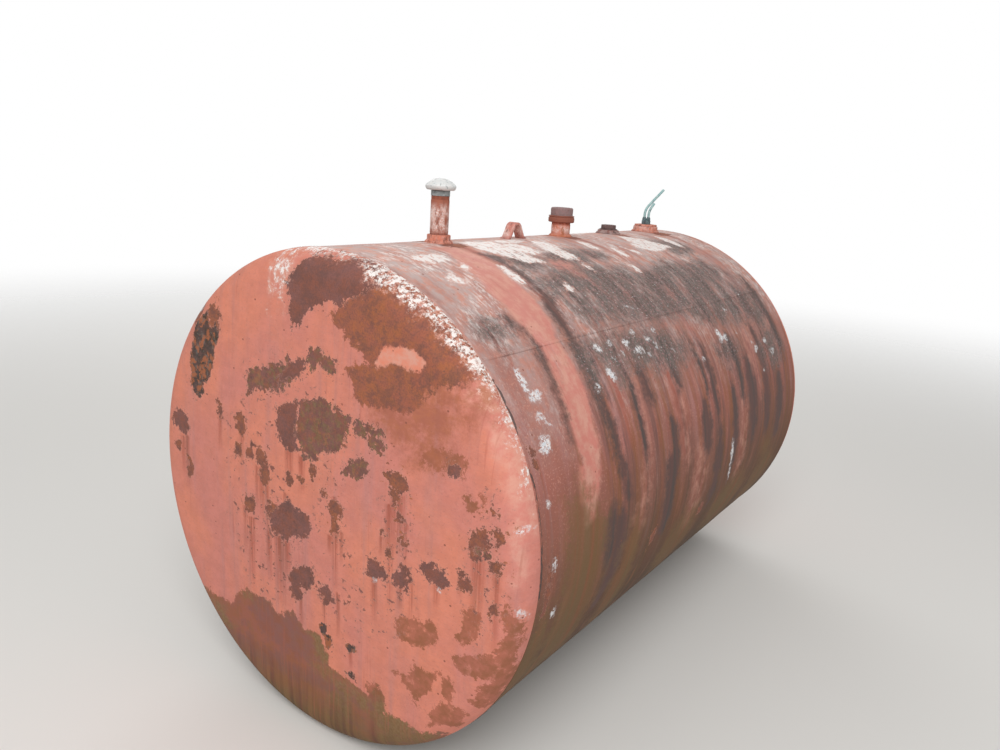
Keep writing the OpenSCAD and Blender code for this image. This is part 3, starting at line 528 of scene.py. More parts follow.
def weathered_plate(name, c, paint, dull, rolled):
    """Red oxide primer on rolled steel: matt and chalky, greyed in the runs of water, with
    pitted rust in its breaks, growth where it stays damp and white flakes where it peels.
    A rolled shell also darkens in streaks down its sides and browns towards its belly.
    On the ends the pale and white fields also lay a painted highlight along the knuckle."""
    f = Finish(name, paint, 0.8, flow=True)
    # Masks that several coats share. The tooth of the paint and its brush marks are finer than
    # half a millimetre in the real paint: at 6 and 2.2 mm they are as coarse as they need to be.
    broad = f.grain((260, 320), 0.38, 0.64, 3)
    streak = f.grain((26, 460), 0.4, 0.68)
    wide_streak = f.grain((80, 900), 0.42, 0.62, 4)
    ragged = add(f.tree, "Mix", {0: 0.4, 2: f.grain((44, 44, 44), 0.2, 0.8, crisp=0.7),
                                 3: f.grain((13, 13, 13), 0.3, 0.7, 4, crisp=0.8)})
    fine = f.grain((6, 6, 6), 0.3, 0.7, 3, crisp=0.65)
    cloud = f.grain((34, 44, 34), 0.36, 0.62, crisp=0.7)
    brush = f.grain((90, 2.2), 0.3, 0.7, 2)
    # The paint itself, faded in broad clouds, greyed in the runs of water and specked
    f.coat(broad, colour=dull)
    f.coat(streak, wide_streak, colour=c.lavender, share=0.7 if rolled else 0.4)
    f.coat(cloud, colour=c.bruise, share=0.2)
    f.coat(fine, rough=0.9, rise=0.05)
    f.coat(brush, colour=c.lavender, share=0.12)
    f.coat(f.grain((5, 6, 5), 0.57, 0.64, 3), colour=c.fresh, share=0.4 if rolled else 0.14)
    f.coat(f.grain((6, 9, 6), 0.58, 0.66, 3), colour=c.purple, share=0.45 if rolled else 0.14)
    if rolled:
        # Chalk and bare primer on the crown
        chalk = f.ramp("Z", CROWN - 420, CROWN - 20)
        f.coat(chalk, f.grain((90, 300), 0.2, 0.6, crisp=0.7), colour=(c.fresh, c.ash, cloud),
               share=0.9)
        f.coat(chalk, f.grain((150, 230), 0.42, 0.58, 4),
               f.grain((12, 34), 0.47, 0.6, crisp=0.76), colour=c.white, share=0.75)
        # Rusty and purple streaks down the sides, which spare the strip beside the vent's end
        clean = f.ramp("X", -790, -660)
        sides = f.ramp("Z", CROWN - 60, CROWN - 420)
        hair = f.grain((7, 240), 0.2, 0.55, 3)
        f.coat(sides, f.grain((64, 700), 0.44, 0.6), hair, clean, colour=c.rusty,
               share=0.85)
        f.coat(sides, f.grain((46, 560), 0.48, 0.59, 6), hair, clean,
               colour=(c.purple, c.murk, streak), share=0.9)
        # Brown and then soil towards the belly
        belly = f.ramp("Z", AXIS + 190, AXIS - 300)
        f.coat(belly, colour=(c.rusty, c.olive, streak), share=0.9)
        f.coat(belly, f.grain((44, 240), 0.24, 0.5, 6), colour=c.soil, share=0.92)

    # Fresh, bruised and hazy patches, and the runs of rust, in places of their own. On the ends
    # the pale field is a painted highlight along the knuckle
    f.coat(f.stain("rosy", ragged, 30, 30), f.grain((30, 300), 0.3, 0.56),
           colour=(c.fresh, paint, cloud), share=0.5)
    # Pale patches on the shell; on the ends, a pinkish painted highlight along the knuckle
    f.coat(f.stain("pale", ragged, 10, 12), f.grain((40, 200), 0.12, 0.46),
           colour=(c.fresh, c.end_cool, cloud), share=0.85, rough=0.72)
    f.coat(f.stain("bruise", ragged, 19, 3), f.grain((20, 20, 20), 0.2, 0.46, 4),
           colour=(c.bruise, c.rusty, cloud), share=0.82)
    f.coat(f.stain("haze", ragged, 40, 45), f.grain((60, 70, 60), 0.3, 0.56, crisp=0.72),
           colour=(c.orange, c.bruise, cloud), share=0.8)
    run = add(f.tree, "Attribute", attribute_name="run", out="Fac")
    f.coat(run, f.grain((4.5, 170), 0.28, 0.54, 4), colour=(c.drip, c.brown, streak))
    f.coat(f.grain((9, 220), 0.57, 0.74), wide_streak, colour=c.drip, share=0.45)

    # What stays damp: dark streaks, algae, thin rust that darkens downwards, and mildew
    f.coat(f.stain("dark", ragged, 22, 20), f.grain((16, 220), 0.06, 0.46, 4),
           colour=(c.murk, c.soot, streak), share=0.94, rough=0.75)
    f.coat(f.stain("olive", ragged, 50, 40), colour=(c.olive, c.rusty, streak), share=0.7)
    damp = f.stain("damp", ragged, 16, 4)
    low = f.ramp("Z", AXIS - 420, AXIS - 570)
    f.coat(damp, colour=(c.rusty, c.brown, cloud), share=0.86, rough=0.9)
    f.coat(damp, f.grain((150, 190, 150), 0.44, 0.58, crisp=0.62), colour=(c.olive, c.lichen, fine),
           share=0.75)
    f.coat(damp, f.grain((40, 60, 40), 0.5, 0.62, crisp=0.74), colour=c.purple, share=0.6)
    f.coat(damp, f.stain("wet", ragged, 26, 14), colour=(c.brown, c.purple, cloud), share=0.8)
    f.coat(damp, low, colour=(c.olive, c.soil, streak), share=0.85)
    f.coat(damp, f.grain((8, 170), 0.52, 0.7, 3), colour=c.bruise, share=0.4)
    growth = f.stain("mildew", ragged, 40, 40)
    f.coat(growth, f.grain((60, 170), 0.24, 0.54), f.grain((9, 18), 0.1, 0.5, 4),
           colour=(c.mildew, c.soot, streak), share=0.92, rough=0.92)
    f.coat(growth, f.grain((7, 9), 0.53, 0.63, 3, crisp=0.7), colour=c.lavender, share=0.75)
    f.coat(growth, f.grain((9, 7), 0.6, 0.66, 4, crisp=0.74), colour=(c.chip, c.white, fine),
           share=0.7)

    # Breaks in the paint. Real pits are 1 or 2 mm across: 4 mm is as coarse as they need to be.
    pitted = f.grain((4, 4, 4), 0.35, 0.7, 2)
    mottle = f.grain((22, 26, 22), 0.4, 0.6, crisp=0.74)
    broken = f.grain((44, 52, 44), 0.46, 0.62, 6, crisp=0.78)

    def breach(field, colours, edge=21, soft=1.5, depth=0.6, lip=0.5, pits=0.3):
        """A break in the paint, with a pale lifted lip, partly a painted highlight on its curled
        edge, down to pitted rust of two colours.
        """
        f.coat(f.stain(field, ragged, edge, 8, 24), f.grain((9, 13, 9), 0.64, 0.68, 3),
               colour=colours[0], share=lip and 0.9)
        # The lifted lip: paler paint, partly a painted highlight on its curled edge, with a real
        # rise
        f.coat(f.stain(field, ragged, edge, soft, 2.5), colour=c.fresh, share=lip, rise=0.2)
        within = f.stain(field, ragged, edge, soft)
        f.coat(within, colour=(*colours, cloud), rough=0.93, rise=-depth)
        f.coat(within, mottle, colour=c.purple, share=1.3 * pits)
        f.coat(within, broken, colour=c.soot, share=pits)
        f.coat(within, pitted, colour=c.soot, share=pits, rise=-0.4)
        return within

    pox = f.stain("pox", ragged, 30, 25)
    # Pale lips round the pits: paler paint, partly a painted highlight on their curled edges
    f.coat(pox, f.grain((15, 19, 15), 0.57, 0.6, crisp=0.72), colour=c.fresh, share=0.6, rise=0.2)
    f.coat(pox, f.grain((15, 19, 15), 0.595, 0.615, crisp=0.72), colour=(c.brown, c.purple, cloud),
           rough=0.93, rise=-0.6)
    breach("rust", (c.orange, c.brown))
    breach("film", (c.orange, c.bruise), 24, 4, 0.15, 0.0, 0.3)
    breach("purple", (c.purple, c.brown))
    moss = breach("growth", (c.brown, c.purple))
    f.coat(moss, f.grain((15, 15, 15), 0.46, 0.6, crisp=0.78), colour=(c.olive, c.lichen, fine),
           share=0.62, rise=0.3)
    f.coat(moss, f.grain((24, 24, 24), 0.54, 0.62, crisp=0.75), colour=c.orange, share=0.35)
    f.coat(f.stain("island", ragged, 9, 4), colour=(c.fresh, paint, cloud), rough=0.8, rise=0.3)
    scab = breach("scab", (c.soot, c.soil), 14, 1.5, 1.0)
    f.coat(scab, f.grain((26, 26, 26), 0.5, 0.56, crisp=0.7), colour=c.orange, share=0.85)
    f.coat(scab, f.grain((12, 12, 12), 0.56, 0.6, 4), colour=c.mildew, share=0.6)

    # White primer and bluish chips where the paint peels: drawn out by the water on the shell
    flakes = (f.grain((13, 60), 0.38, 0.45, crisp=0.78) if rolled
              else f.grain((14, 14, 14), 0.46, 0.53, crisp=0.78))
    # On the ends the white field along the knuckle is also a painted highlight, laid with the
    # flakes
    white = f.stain("white", ragged, 18, 7)
    f.coat(f.stain("white", ragged, 24, 8, 7), f.grain((9, 12, 9), 0.45, 0.6, 4),
           colour=c.fresh, share=0.75)
    f.coat(white, flakes, colour=(c.white, c.fresh, f.grain((11, 15), 0.54, 0.66, 4)),
           rough=0.6, rise=0.35)
    f.coat(f.stain("chip", ragged, 13, 6), f.grain((9, 8, 9), 0.43, 0.49, 4, crisp=0.8),
           colour=(c.chip, c.white, fine), rough=0.55)
    f.coat(f.stain("crack", ragged, 4, 1, 1), colour=c.soot, rise=-0.5, share=0.85)

    # Specks of rust 6 mm across and of soot 2 mm across
    f.coat(f.spots((38, 46, 38), 0.075), colour=c.brown, rough=0.95, rise=-0.4, share=0.9)
    f.coat(f.spots((17, 21, 17), 0.05), cloud, colour=c.soot, share=0.75)
    return f.done()


def worn_paint(name, c, paint, low, high, rusty, bare):
    """Paint on a screwed fitting: rubbed pale over its middle and rusty at its foot and top.
    low and high are the heights in mm over the crown between which it is rubbed."""
    f = Finish(name, paint, 0.72)
    ragged = f.grain((16, 16, 26), 0.25, 0.75, 7, crisp=0.7)
    cloud = f.grain((9, 9, 16), 0.36, 0.62, 6)
    fine = f.grain((3, 3, 3), 0.35, 0.65, 4)  # brush marks, 3 mm where real ones are finer
    f.coat(cloud, colour=c.brown, share=0.35)
    f.coat(fine, rise=0.08, rough=0.85)
    over = f.ramp("Z", CROWN + low - 8, CROWN + low + 12)
    under = f.ramp("Z", CROWN + high + 8, CROWN + high - 14)
    f.coat(over, under, f.grain((18, 18, 40), 0.34, 0.58, 7, crisp=0.7),
           colour=(bare, c.white, fine), share=0.85, rough=0.6)
    f.coat(f.grain((13, 13, 30), 0.52, 0.62, 7, crisp=0.72), colour=rusty, share=0.8, rough=0.92,
           rise=-0.15)
    foot = f.ramp("Z", CROWN + low + 6, CROWN + low - 8)
    f.coat(foot, ragged, colour=rusty, share=0.85, rough=0.92)
    f.coat(f.spots((7, 7, 9), 0.16), colour=c.soot, share=0.6, rise=-0.2)
    return f.done()


def aged_metal(name, c, base, dust, stained, metallic, rough):
    """Bare cast or drawn metal with a dull skin: soft gloss, dusted in clouds and darker in its
    hollows."""
    f = Finish(name, base, rough)
    cloud = f.grain((11, 11, 11), 0.35, 0.65, 7, crisp=0.68)
    fine = f.grain((1.6, 1.6, 1.6), 0.35, 0.65, 3)  # skin, 1.6 mm where the real one is finer
    f.coat(cloud, colour=dust, share=0.4, rough=min(1.0, rough + 0.2))
    f.coat(fine, rise=0.06)
    f.coat(f.grain((7, 7, 15), 0.56, 0.66, 6), colour=stained, share=0.55, rough=0.85)
    f.coat(f.spots((5, 5, 5), 0.14), colour=stained, share=0.5, rise=-0.12)
    return f.done(Metallic=metallic)


def only(kind, geometry):
    """The points or the edges among what a mesh operation gives."""
    return [g for g in geometry if isinstance(g, kind)]


def move(mesh, x=0.0, y=0.0, z=0.0, verts=None):
    """Moves a mesh, or some of its points, by some mm."""
    bmesh.ops.translate(mesh, verts=verts or mesh.verts[:], vec=(x * MM, y * MM, z * MM))
    return mesh


def rotate(mesh, turn, axis, verts=None):
    """Turns a mesh, or some of its points, round an axis through the origin."""
    bmesh.ops.rotate(mesh, verts=verts or mesh.verts[:], matrix=Matrix.Rotation(turn, 3, axis))
    return mesh


def mirror(mesh):
    """Mirrors a mesh along X."""
    bmesh.ops.scale(mesh, verts=mesh.verts[:], vec=(-1, 1, 1))
    return tidy(mesh)


def tidy(mesh):
    """Merges doubled points and turns all faces outwards."""
    bmesh.ops.remove_doubles(mesh, verts=mesh.verts[:], dist=0.005 * MM)
    bmesh.ops.recalc_face_normals(mesh, faces=mesh.faces[:])
    return mesh


def spin(mesh, geom, steps, turn=0.0, way=(0, 0, 0), middle=(0, 0, 0), axis=(0, 1, 0)):
    """Draws some geometry out in steps, round a middle or by a way at each step, and gives what
    is at its far end."""
    return bmesh.ops.spin(mesh, geom=geom, cent=middle, axis=axis, dvec=way, angle=turn,
                          steps=steps, use_merge=False)["geom_last"]


def draw_out(mesh, way, steps=1):
    """Draws a closed outline out along a way in mm, and closes both ends."""
    start = mesh.edges[:]
    last = spin(mesh, mesh.verts[:] + start, steps, way=[d / steps * MM for d in way])
    for loop in (start, only(BMEdge, last)):
        bmesh.ops.contextual_create(mesh, geom=loop)
    return tidy(mesh)


class Pen:
    """Draws a line in a bmesh, in mm in the XZ plane, that is then turned or drawn out."""

    def __init__(self, x, z):
        self.mesh = bmesh.new()
        self.inner = self.mesh.verts.layers.float.new("inner")
        self.first = self.last = self.mesh.verts.new((x * MM, 0, z * MM))

    def to(self, *points):
        """Draws straight on to each point."""
        for x, z in points:
            self.last = bmesh.ops.extrude_vert_indiv(self.mesh, verts=[self.last])["verts"][0]
            self.last.co = (x * MM, 0, z * MM)
        return self

    def arc(self, x, z, degrees, steps):
        """Draws on round a middle, clockwise when seen from -Y."""
        last = spin(self.mesh, [self.last], steps, math.radians(degrees),
                    middle=(x * MM, 0, z * MM))
        self.last = only(BMVert, last)[0]
        return self

    def close(self):
        """Joins the line's end to its start."""
        self.mesh.edges.new((self.last, self.first))
        return self

    def turn(self, steps=96, axis="Z"):
        """Turns the line fully round an axis through the origin: an eighth of a turn is spun and
        then doubled three times, as a spin slows down with every step. steps is eight times
        a whole number."""
        mesh, eighth = self.mesh, math.tau / 8
        spin(mesh, mesh.verts[:] + mesh.edges[:], steps // 8, eighth,
             axis=[float(axis == name) for name in "XYZ"])
        for doubling in range(3):
            copied = bmesh.ops.duplicate(mesh, geom=mesh.verts[:] + mesh.edges[:] + mesh.faces[:])
            rotate(mesh, eighth * 2 ** doubling, axis, only(BMVert, copied["geom"]))
        return tidy(mesh)


def soften(mesh, width, segments=2, crease=35):
    """Rounds the edges that are sharper than an angle in degrees, in mm."""
    sharp = [e for e in mesh.edges if e.is_manifold and e.calc_face_angle(0) > math.radians(crease)]
    bmesh.ops.bevel(mesh, geom=sharp, offset=width * MM, offset_type="OFFSET", segments=segments,
                    profile=0.5, affect="EDGES", material=-1, clamp_overlap=True)
    return mesh


def add_hexagon(mesh, flats, low, high, rounding, segments, turn=0.0):
    """Adds a six-sided bar with rounded edges between two heights. Its size is a length in metres
    from flat to flat, and its corners are along X before it is turned."""
    bar = bmesh.new()
    radius = flats / math.cos(math.pi / 6) / 2
    bmesh.ops.create_cone(bar, cap_ends=True, segments=6, radius1=radius, radius2=radius,
                          depth=(high - low) * MM)
    move(rotate(bar, turn + math.pi / 6, "Z"), z=(low + high) / 2)
    data = bpy.data.meshes.new("bar")
    soften(bar, rounding, segments).to_mesh(data)
    bar.free()
    mesh.from_mesh(data)
    bpy.data.meshes.remove(data)
    return mesh


def thread_points(s, radius, low, high):
    """Points of a screw thread's outline from one height up to another."""
    points, pitch = [], s.thread / MM
    for i in range(max(1, round((high - low) / pitch))):
        points += [(radius - s.thread_depth / MM, low + i * pitch),
                   (radius, low + (i + 0.5) * pitch)]
    return points


def piece(mesh, name, material, node, x=0.0, lift=CROWN, crease=32):
    """Makes a finished mesh a piece of the tank, in place of one of the frame's nodes."""
    move(mesh, x, 0, lift)
    data = bpy.data.meshes.new(name)
    mesh.to_mesh(data)
    mesh.free()
    data.shade_smooth()
    data.set_sharp_from_angle(angle=math.radians(crease))
    data.materials.append(material)
    made = put(name, data)
    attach(made, "root")
    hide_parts(node)
    return made


def depth_inside(u, v, stain):
    """Depth in mm of points inside a blot or an outline, negative outside it."""
    if not isinstance(stain[0], tuple):
        cu, cv, ru, rv = stain
        k = np.maximum(np.hypot((u - cu) / ru, (v - cv) / rv), 0.05)
        slope = np.hypot((u - cu) / ru ** 2, (v - cv) / rv ** 2).clip(0.2 / max(ru, rv))
        return (1 - k) * k / slope
    edge, within = np.full(u.shape, 1e6), np.zeros(u.shape, bool)
    for (au, av), (bu, bv) in zip(stain, stain[1:] + stain[:1]):
        eu, ev = bu - au, bv - av
        t = np.clip(((u - au) * eu + (v - av) * ev) / (eu ** 2 + ev ** 2), 0, 1)
        edge = np.minimum(edge, np.hypot(u - au - t * eu, v - av - t * ev))
        if ev:
            within ^= ((av > v) != (bv > v)) & (u < eu * (v - av) / ev + au)
    return np.where(within, edge, -edge)


def paint(made, u, v, stains, runs, down, turned=False):
    """Gives a piece the fields that its weathered finish reads, and its map of the flow of
    water: u across and v along the flow, in mm, with down -1 where v falls on the way down.
    Where it is turned, the far side of v = 0 has the near side's stains, turned half round,
    apart from the rust and runs that start at the fittings; only this rust crosses v = 0."""
    warp = sum(np.array([noise.noise_vector(Vector((a, b, layer)) / size) for a, b in zip(u, v)])
               * far for size, far, layer in WANDER)
    other, drop = np.where((v < 0) & turned, -u, u), np.abs(v) if turned else v
    fields = {}
    for field in FIELDS:
        depth = np.full(u.shape, -REACH)
        across = u if field == "rust" else other
        for stain in stains.get(field, []):
            depth = np.maximum(depth, depth_inside(across + warp[:, 0], drop + warp[:, 1], stain))
        if turned and field != "rust":
            depth = np.minimum(depth, drop - PARTING)
        fields[field] = depth.clip(-REACH, REACH)
    ran = np.zeros(u.shape)
    for across, start, stop, half in runs:
        along = (down * (drop - start)) / abs(stop - start)
        body = (1 - np.abs(u + warp[:, 0] * 0.25 - across) / (1.7 * half)).clip(0, 1)
        ran = np.maximum(ran, (body * (1 - along).clip(0, 1)) ** 0.6 * (along > 0))
    fields["run"] = ran
    for field, value in fields.items():
        made.data.attributes.new(field, "FLOAT", "POINT").data.foreach_set(
            "value", value.astype(np.float32))
    corner = np.empty(len(made.data.loops), np.int32)
    made.data.loops.foreach_get("vertex_index", corner)
    flow = np.stack([u[corner], v[corner]], 1) * MM
    if np.ptp(v) > 0.75 * GIRTH:  # the map's two ends meet under the belly, between the faces
        girth = flow[:, 1].reshape(-1, 4)
        split = (girth.max(1) - girth.min(1)) > GIRTH * MM / 2
        girth[split[:, None] & (girth < 0)] += GIRTH * MM
    made.data.uv_layers.new(name="flow").data.foreach_set("uv", flow.astype(np.float32).ravel())


def corners(made):
    """Places of a piece's points, in mm."""
    co = np.empty(len(made.data.vertices) * 3)
    made.data.vertices.foreach_get("co", co)
    return co.reshape(-1, 3) / MM


def paint_shell(made):
    """Paints a piece that lies on the shell: along the tank, and down from the crown."""
    co = corners(made)
    girth = np.arctan2(-co[:, 1], co[:, 2] - AXIS) * RADIUS
    paint(made, co[:, 0], girth, SHELL_STAINS, SHELL_RUNS, 1, True)


def plate_round(s, pen, outside, size, inwards, x=0.0):
    """Turns a plate's half section round the tank's axis, and presses soft waves of some size into
    its outer face. inwards gives a point's way in, shortened where the waves fade out, or None
    for a point that isn't on that face. The belly is flattened: the outer face to the ground,
    the inner one a plate's thickness over it."""
    inner = pen.inner
    for v in pen.mesh.verts:
        v[inner] = float(v not in outside)
    mesh = pen.turn(s.round_steps, "X")
    for v in mesh.verts:
        way = inwards(v.co)
        if way is not None:
            v.co += way * ((noise.noise(v.co / size) * 0.5 + 0.5) * s.waviness)
    move(mesh, x, 0, AXIS)
    for v in mesh.verts:
        v.co.z = max(v.co.z, s.plate if v[inner] > 0.5 else 0.0)
    mesh.verts.layers.float.remove(mesh.verts.layers.float["inner"])
    return mesh


def end_plate(s, side, name, node, material, stains, runs):
    """One flanged and dished end: drawn as a half section and turned round the tank's axis."""
    plate, knuckle, dish, flange = (size / MM for size in (s.plate, s.knuckle, s.dish, s.flange))
    reach = RADIUS - knuckle
    back = math.sqrt((dish - knuckle) ** 2 - reach ** 2)
    lean = math.degrees(math.asin(reach / (dish - knuckle)))
    pen = Pen(back - dish, 0)
    pen.arc(back, 0, lean, 92).arc(0, reach, 90 - lean, 18).to((flange, RADIUS))
    outside = set(pen.mesh.verts)
    pen.to((flange, RADIUS - plate), (0, RADIUS - plate))
    pen.arc(0, reach, lean - 90, 6).arc(back, 0, -lean, 8)

    def inwards(co):
        """Way in of the dish's outer points, with waves that fade out at the knuckle."""
        out = math.hypot(co.y, co.z) / MM
        if out >= reach or co.x >= (back - math.sqrt(dish ** 2 - out ** 2) + plate / 2) * MM:
            return None
        return Vector((min(1.0, 5 * (1 - out / reach)), 0, 0))

    mesh = plate_round(s, pen, outside, s.end_wave, inwards, -(HALF + s.seam_gap / MM + flange))
    if side > 0:
        mirror(mesh)
    made = piece(mesh, name, material, node, 0, 0)
    co = corners(made)
    paint(made, co[:, 1], co[:, 2] - AXIS, stains, runs, -1)


class TANK_OT_ends(bpy.types.Operator):
    """Both ends, as flanged plates with a shallow dish and a rounded knuckle"""
    bl_idname = "tank.ends"
    bl_label = "Ends"

    def execute(self, context):
        s, c = context.scene.tank_sizes, context.scene.tank_colours
        # The sun has chalked the paint to a matt salmon, and rust breaks through it in patches
        finish = weathered_plate("chalked_red_oxide_on_dished_plate", c, c.end_paint, c.end_cool,
                                 False)
        end_plate(s, -1, "front_end_plate", "front_head", finish, NEAR_END, NEAR_RUNS)
        end_plate(s, 1, "rear_end_plate", "rear_head", finish, FAR_END, FAR_RUNS)
        return {"FINISHED"}


class TANK_OT_shell(bpy.types.Operator):
    """The rolled shell plate, with its soft waves and its flattened belly"""
    bl_idname = "tank.shell"
    bl_label = "Shell"

    def execute(self, context):
        s, c = context.scene.tank_sizes, context.scene.tank_colours
        along, inside = s.shell_steps, RADIUS - s.plate / MM
        pen = Pen(-HALF, RADIUS)
        pen.to(*((-HALF + 2 * HALF * i / along, RADIUS) for i in range(1, along + 1)))
        outside = set(pen.mesh.verts)
        pen.to((HALF, inside), (-HALF, inside)).close()

        def inwards(co):
            """Outer points' way to the axis, with waves that fade out at the end seams."""
            out = Vector((0, co.y, co.z))
            fade = min(1.0, (HALF * MM - abs(co.x)) / s.wave_fade)
            return None if out.length < (RADIUS - 1) * MM else -out.normalized() * max(0, fade)

        # The same paint where water runs over it: duller, streaked dark, and brown at the belly.
        # Its base colours are darker than the ends' partly from weathering and partly as painted
        # shade
        finish = weathered_plate("weathered_and_shaded_red_oxide_on_rolled_plate", c, c.shaded_side_paint,
                                 c.shaded_dull_side_paint, True)
        mesh = plate_round(s, pen, outside, s.shell_wave, inwards)
        paint_shell(piece(mesh, "shell_plate", finish, "shell", 0, 0))
        return {"FINISHED"}


class TANK_OT_seams(bpy.types.Operator):
    """The butt welds between the shell and its ends and along the shell, with their ripples"""
    bl_idname = "tank.seams"
    bl_label = "Seams"

    def execute(self, context):
        s, c = context.scene.tank_sizes, context.scene.tank_colours
        half, rise, gap = s.seam_width / MM / 2, s.seam_rise / MM, s.seam_gap / MM / 2
        ball = (half ** 2 + rise ** 2) / (2 * rise)
        sweep = 2 * math.degrees(math.asin(half / ball))
        # The beads were painted with the shell and have weathered with it; like the shell's, their
        # base colours are partly painted shade
        finish = weathered_plate("weathered_and_shaded_red_oxide_on_weld", c, c.shaded_side_paint, c.shaded_dull_side_paint, True)

        def section(top):
            """A bead's section: the arc that shows, and the root between the plates."""
            root = top - s.plate / MM
            pen = Pen(-half, top).arc(0, top + rise - ball, sweep, 8)
            return pen.to((gap, top - 0.3), (gap, root), (-gap, root), (-gap, top - 0.3)).close()

        for side, name in ((-1, "front_head_weld"), (1, "rear_head_weld")):
            mesh = section(RADIUS).turn(s.bead_steps, "X")
            for v in mesh.verts:
                out = Vector((0, v.co.y, v.co.z))
                proud = out.length - RADIUS * MM
                if proud > 0:
                    turn = math.atan2(v.co.y, v.co.z) * RADIUS + 3 * noise.noise(v.co * 30)
                    ripple = abs(math.sin(math.pi * turn * MM / s.ripple))
                    v.co -= out.normalized() * (proud * s.ripple_depth * ripple)
                v.co.z = max(v.co.z, -AXIS * MM)
            paint_shell(piece(mesh, name + "_bead", finish, name,
                              side * (HALF + gap), AXIS))

        run = 2 * (HALF - half + gap)
        mesh = move(rotate(section(0).mesh, math.pi / 2, "Z"), -run / 2)
        draw_out(mesh, (run, 0, 0), s.seam_steps)
        for v in mesh.verts:
            if v.co.z > 0:
                ripple = abs(math.sin(math.pi * v.co.x / s.ripple + noise.noise(v.co * 25)))
                v.co.z *= 1 - s.ripple_depth * ripple
        rotate(move(mesh, z=RADIUS), s.seam_turn, "X")
        paint_shell(piece(mesh, "shell_seam_bead", finish, "shell_seam_weld", 0,
                          AXIS))
        return {"FINISHED"}


def saddle(mesh):
    """Lets the points of a weld follow the curve of the shell across the crown."""
    for v in mesh.verts:
        v.co.z -= (RADIUS - math.sqrt(RADIUS ** 2 - (v.co.y / MM) ** 2)) * MM
    return mesh


def ring_weld(s, fitting, radius, x, material):
    """A fillet weld round a fitting, laid in ripples on the curved shell."""
    leg = s.weld_leg / MM
    hollow = ((0.18, 0.96), (0.45, 0.72), (0.7, 0.45), (0.92, 0.2))
    pen = Pen(radius - 2, -4).to((radius - 2, leg),
                                 *((radius + leg * out, leg * up) for out, up in hollow),
                                 (radius + leg, -1), (radius + leg, -4))
    mesh = pen.close().turn(s.ring_steps)
    around = round(math.tau * (radius + leg / 2) * MM / s.ring_ripple)
    for v in mesh.verts:
        out = Vector((v.co.x, v.co.y, 0))
        if out.length > radius * MM and v.co.z > -2 * MM:
            turn = math.atan2(v.co.y, v.co.x) / math.tau
            lap = (turn * around + 0.35 * noise.noise(v.co * 60)) % 1.0
            v.co += (out.normalized() + Vector((0, 0, 1))) * (1.8 * (lap - 0.5) ** 2 * MM)
    piece(saddle(mesh), fitting + "_fillet", material, fitting + "_weld", x)


def coupling(s, node, x, bore, material, chamfer=1.5, rounding=0.5):
    """A turned sleeve with chamfered rims, and the weld round its foot. Gives the sleeve's top."""
    _, outer, _, top = standing(node)
    pen = Pen(bore, FOOT).to((outer, FOOT), (outer, top - chamfer), (outer - chamfer, top),
                             (bore + 0.8, top), (bore, top - 0.8))
    piece(soften(pen.close().turn(), rounding), node + "_sleeve", material, node,
          x)
    ring_weld(s, node, outer, x, material)
    return top


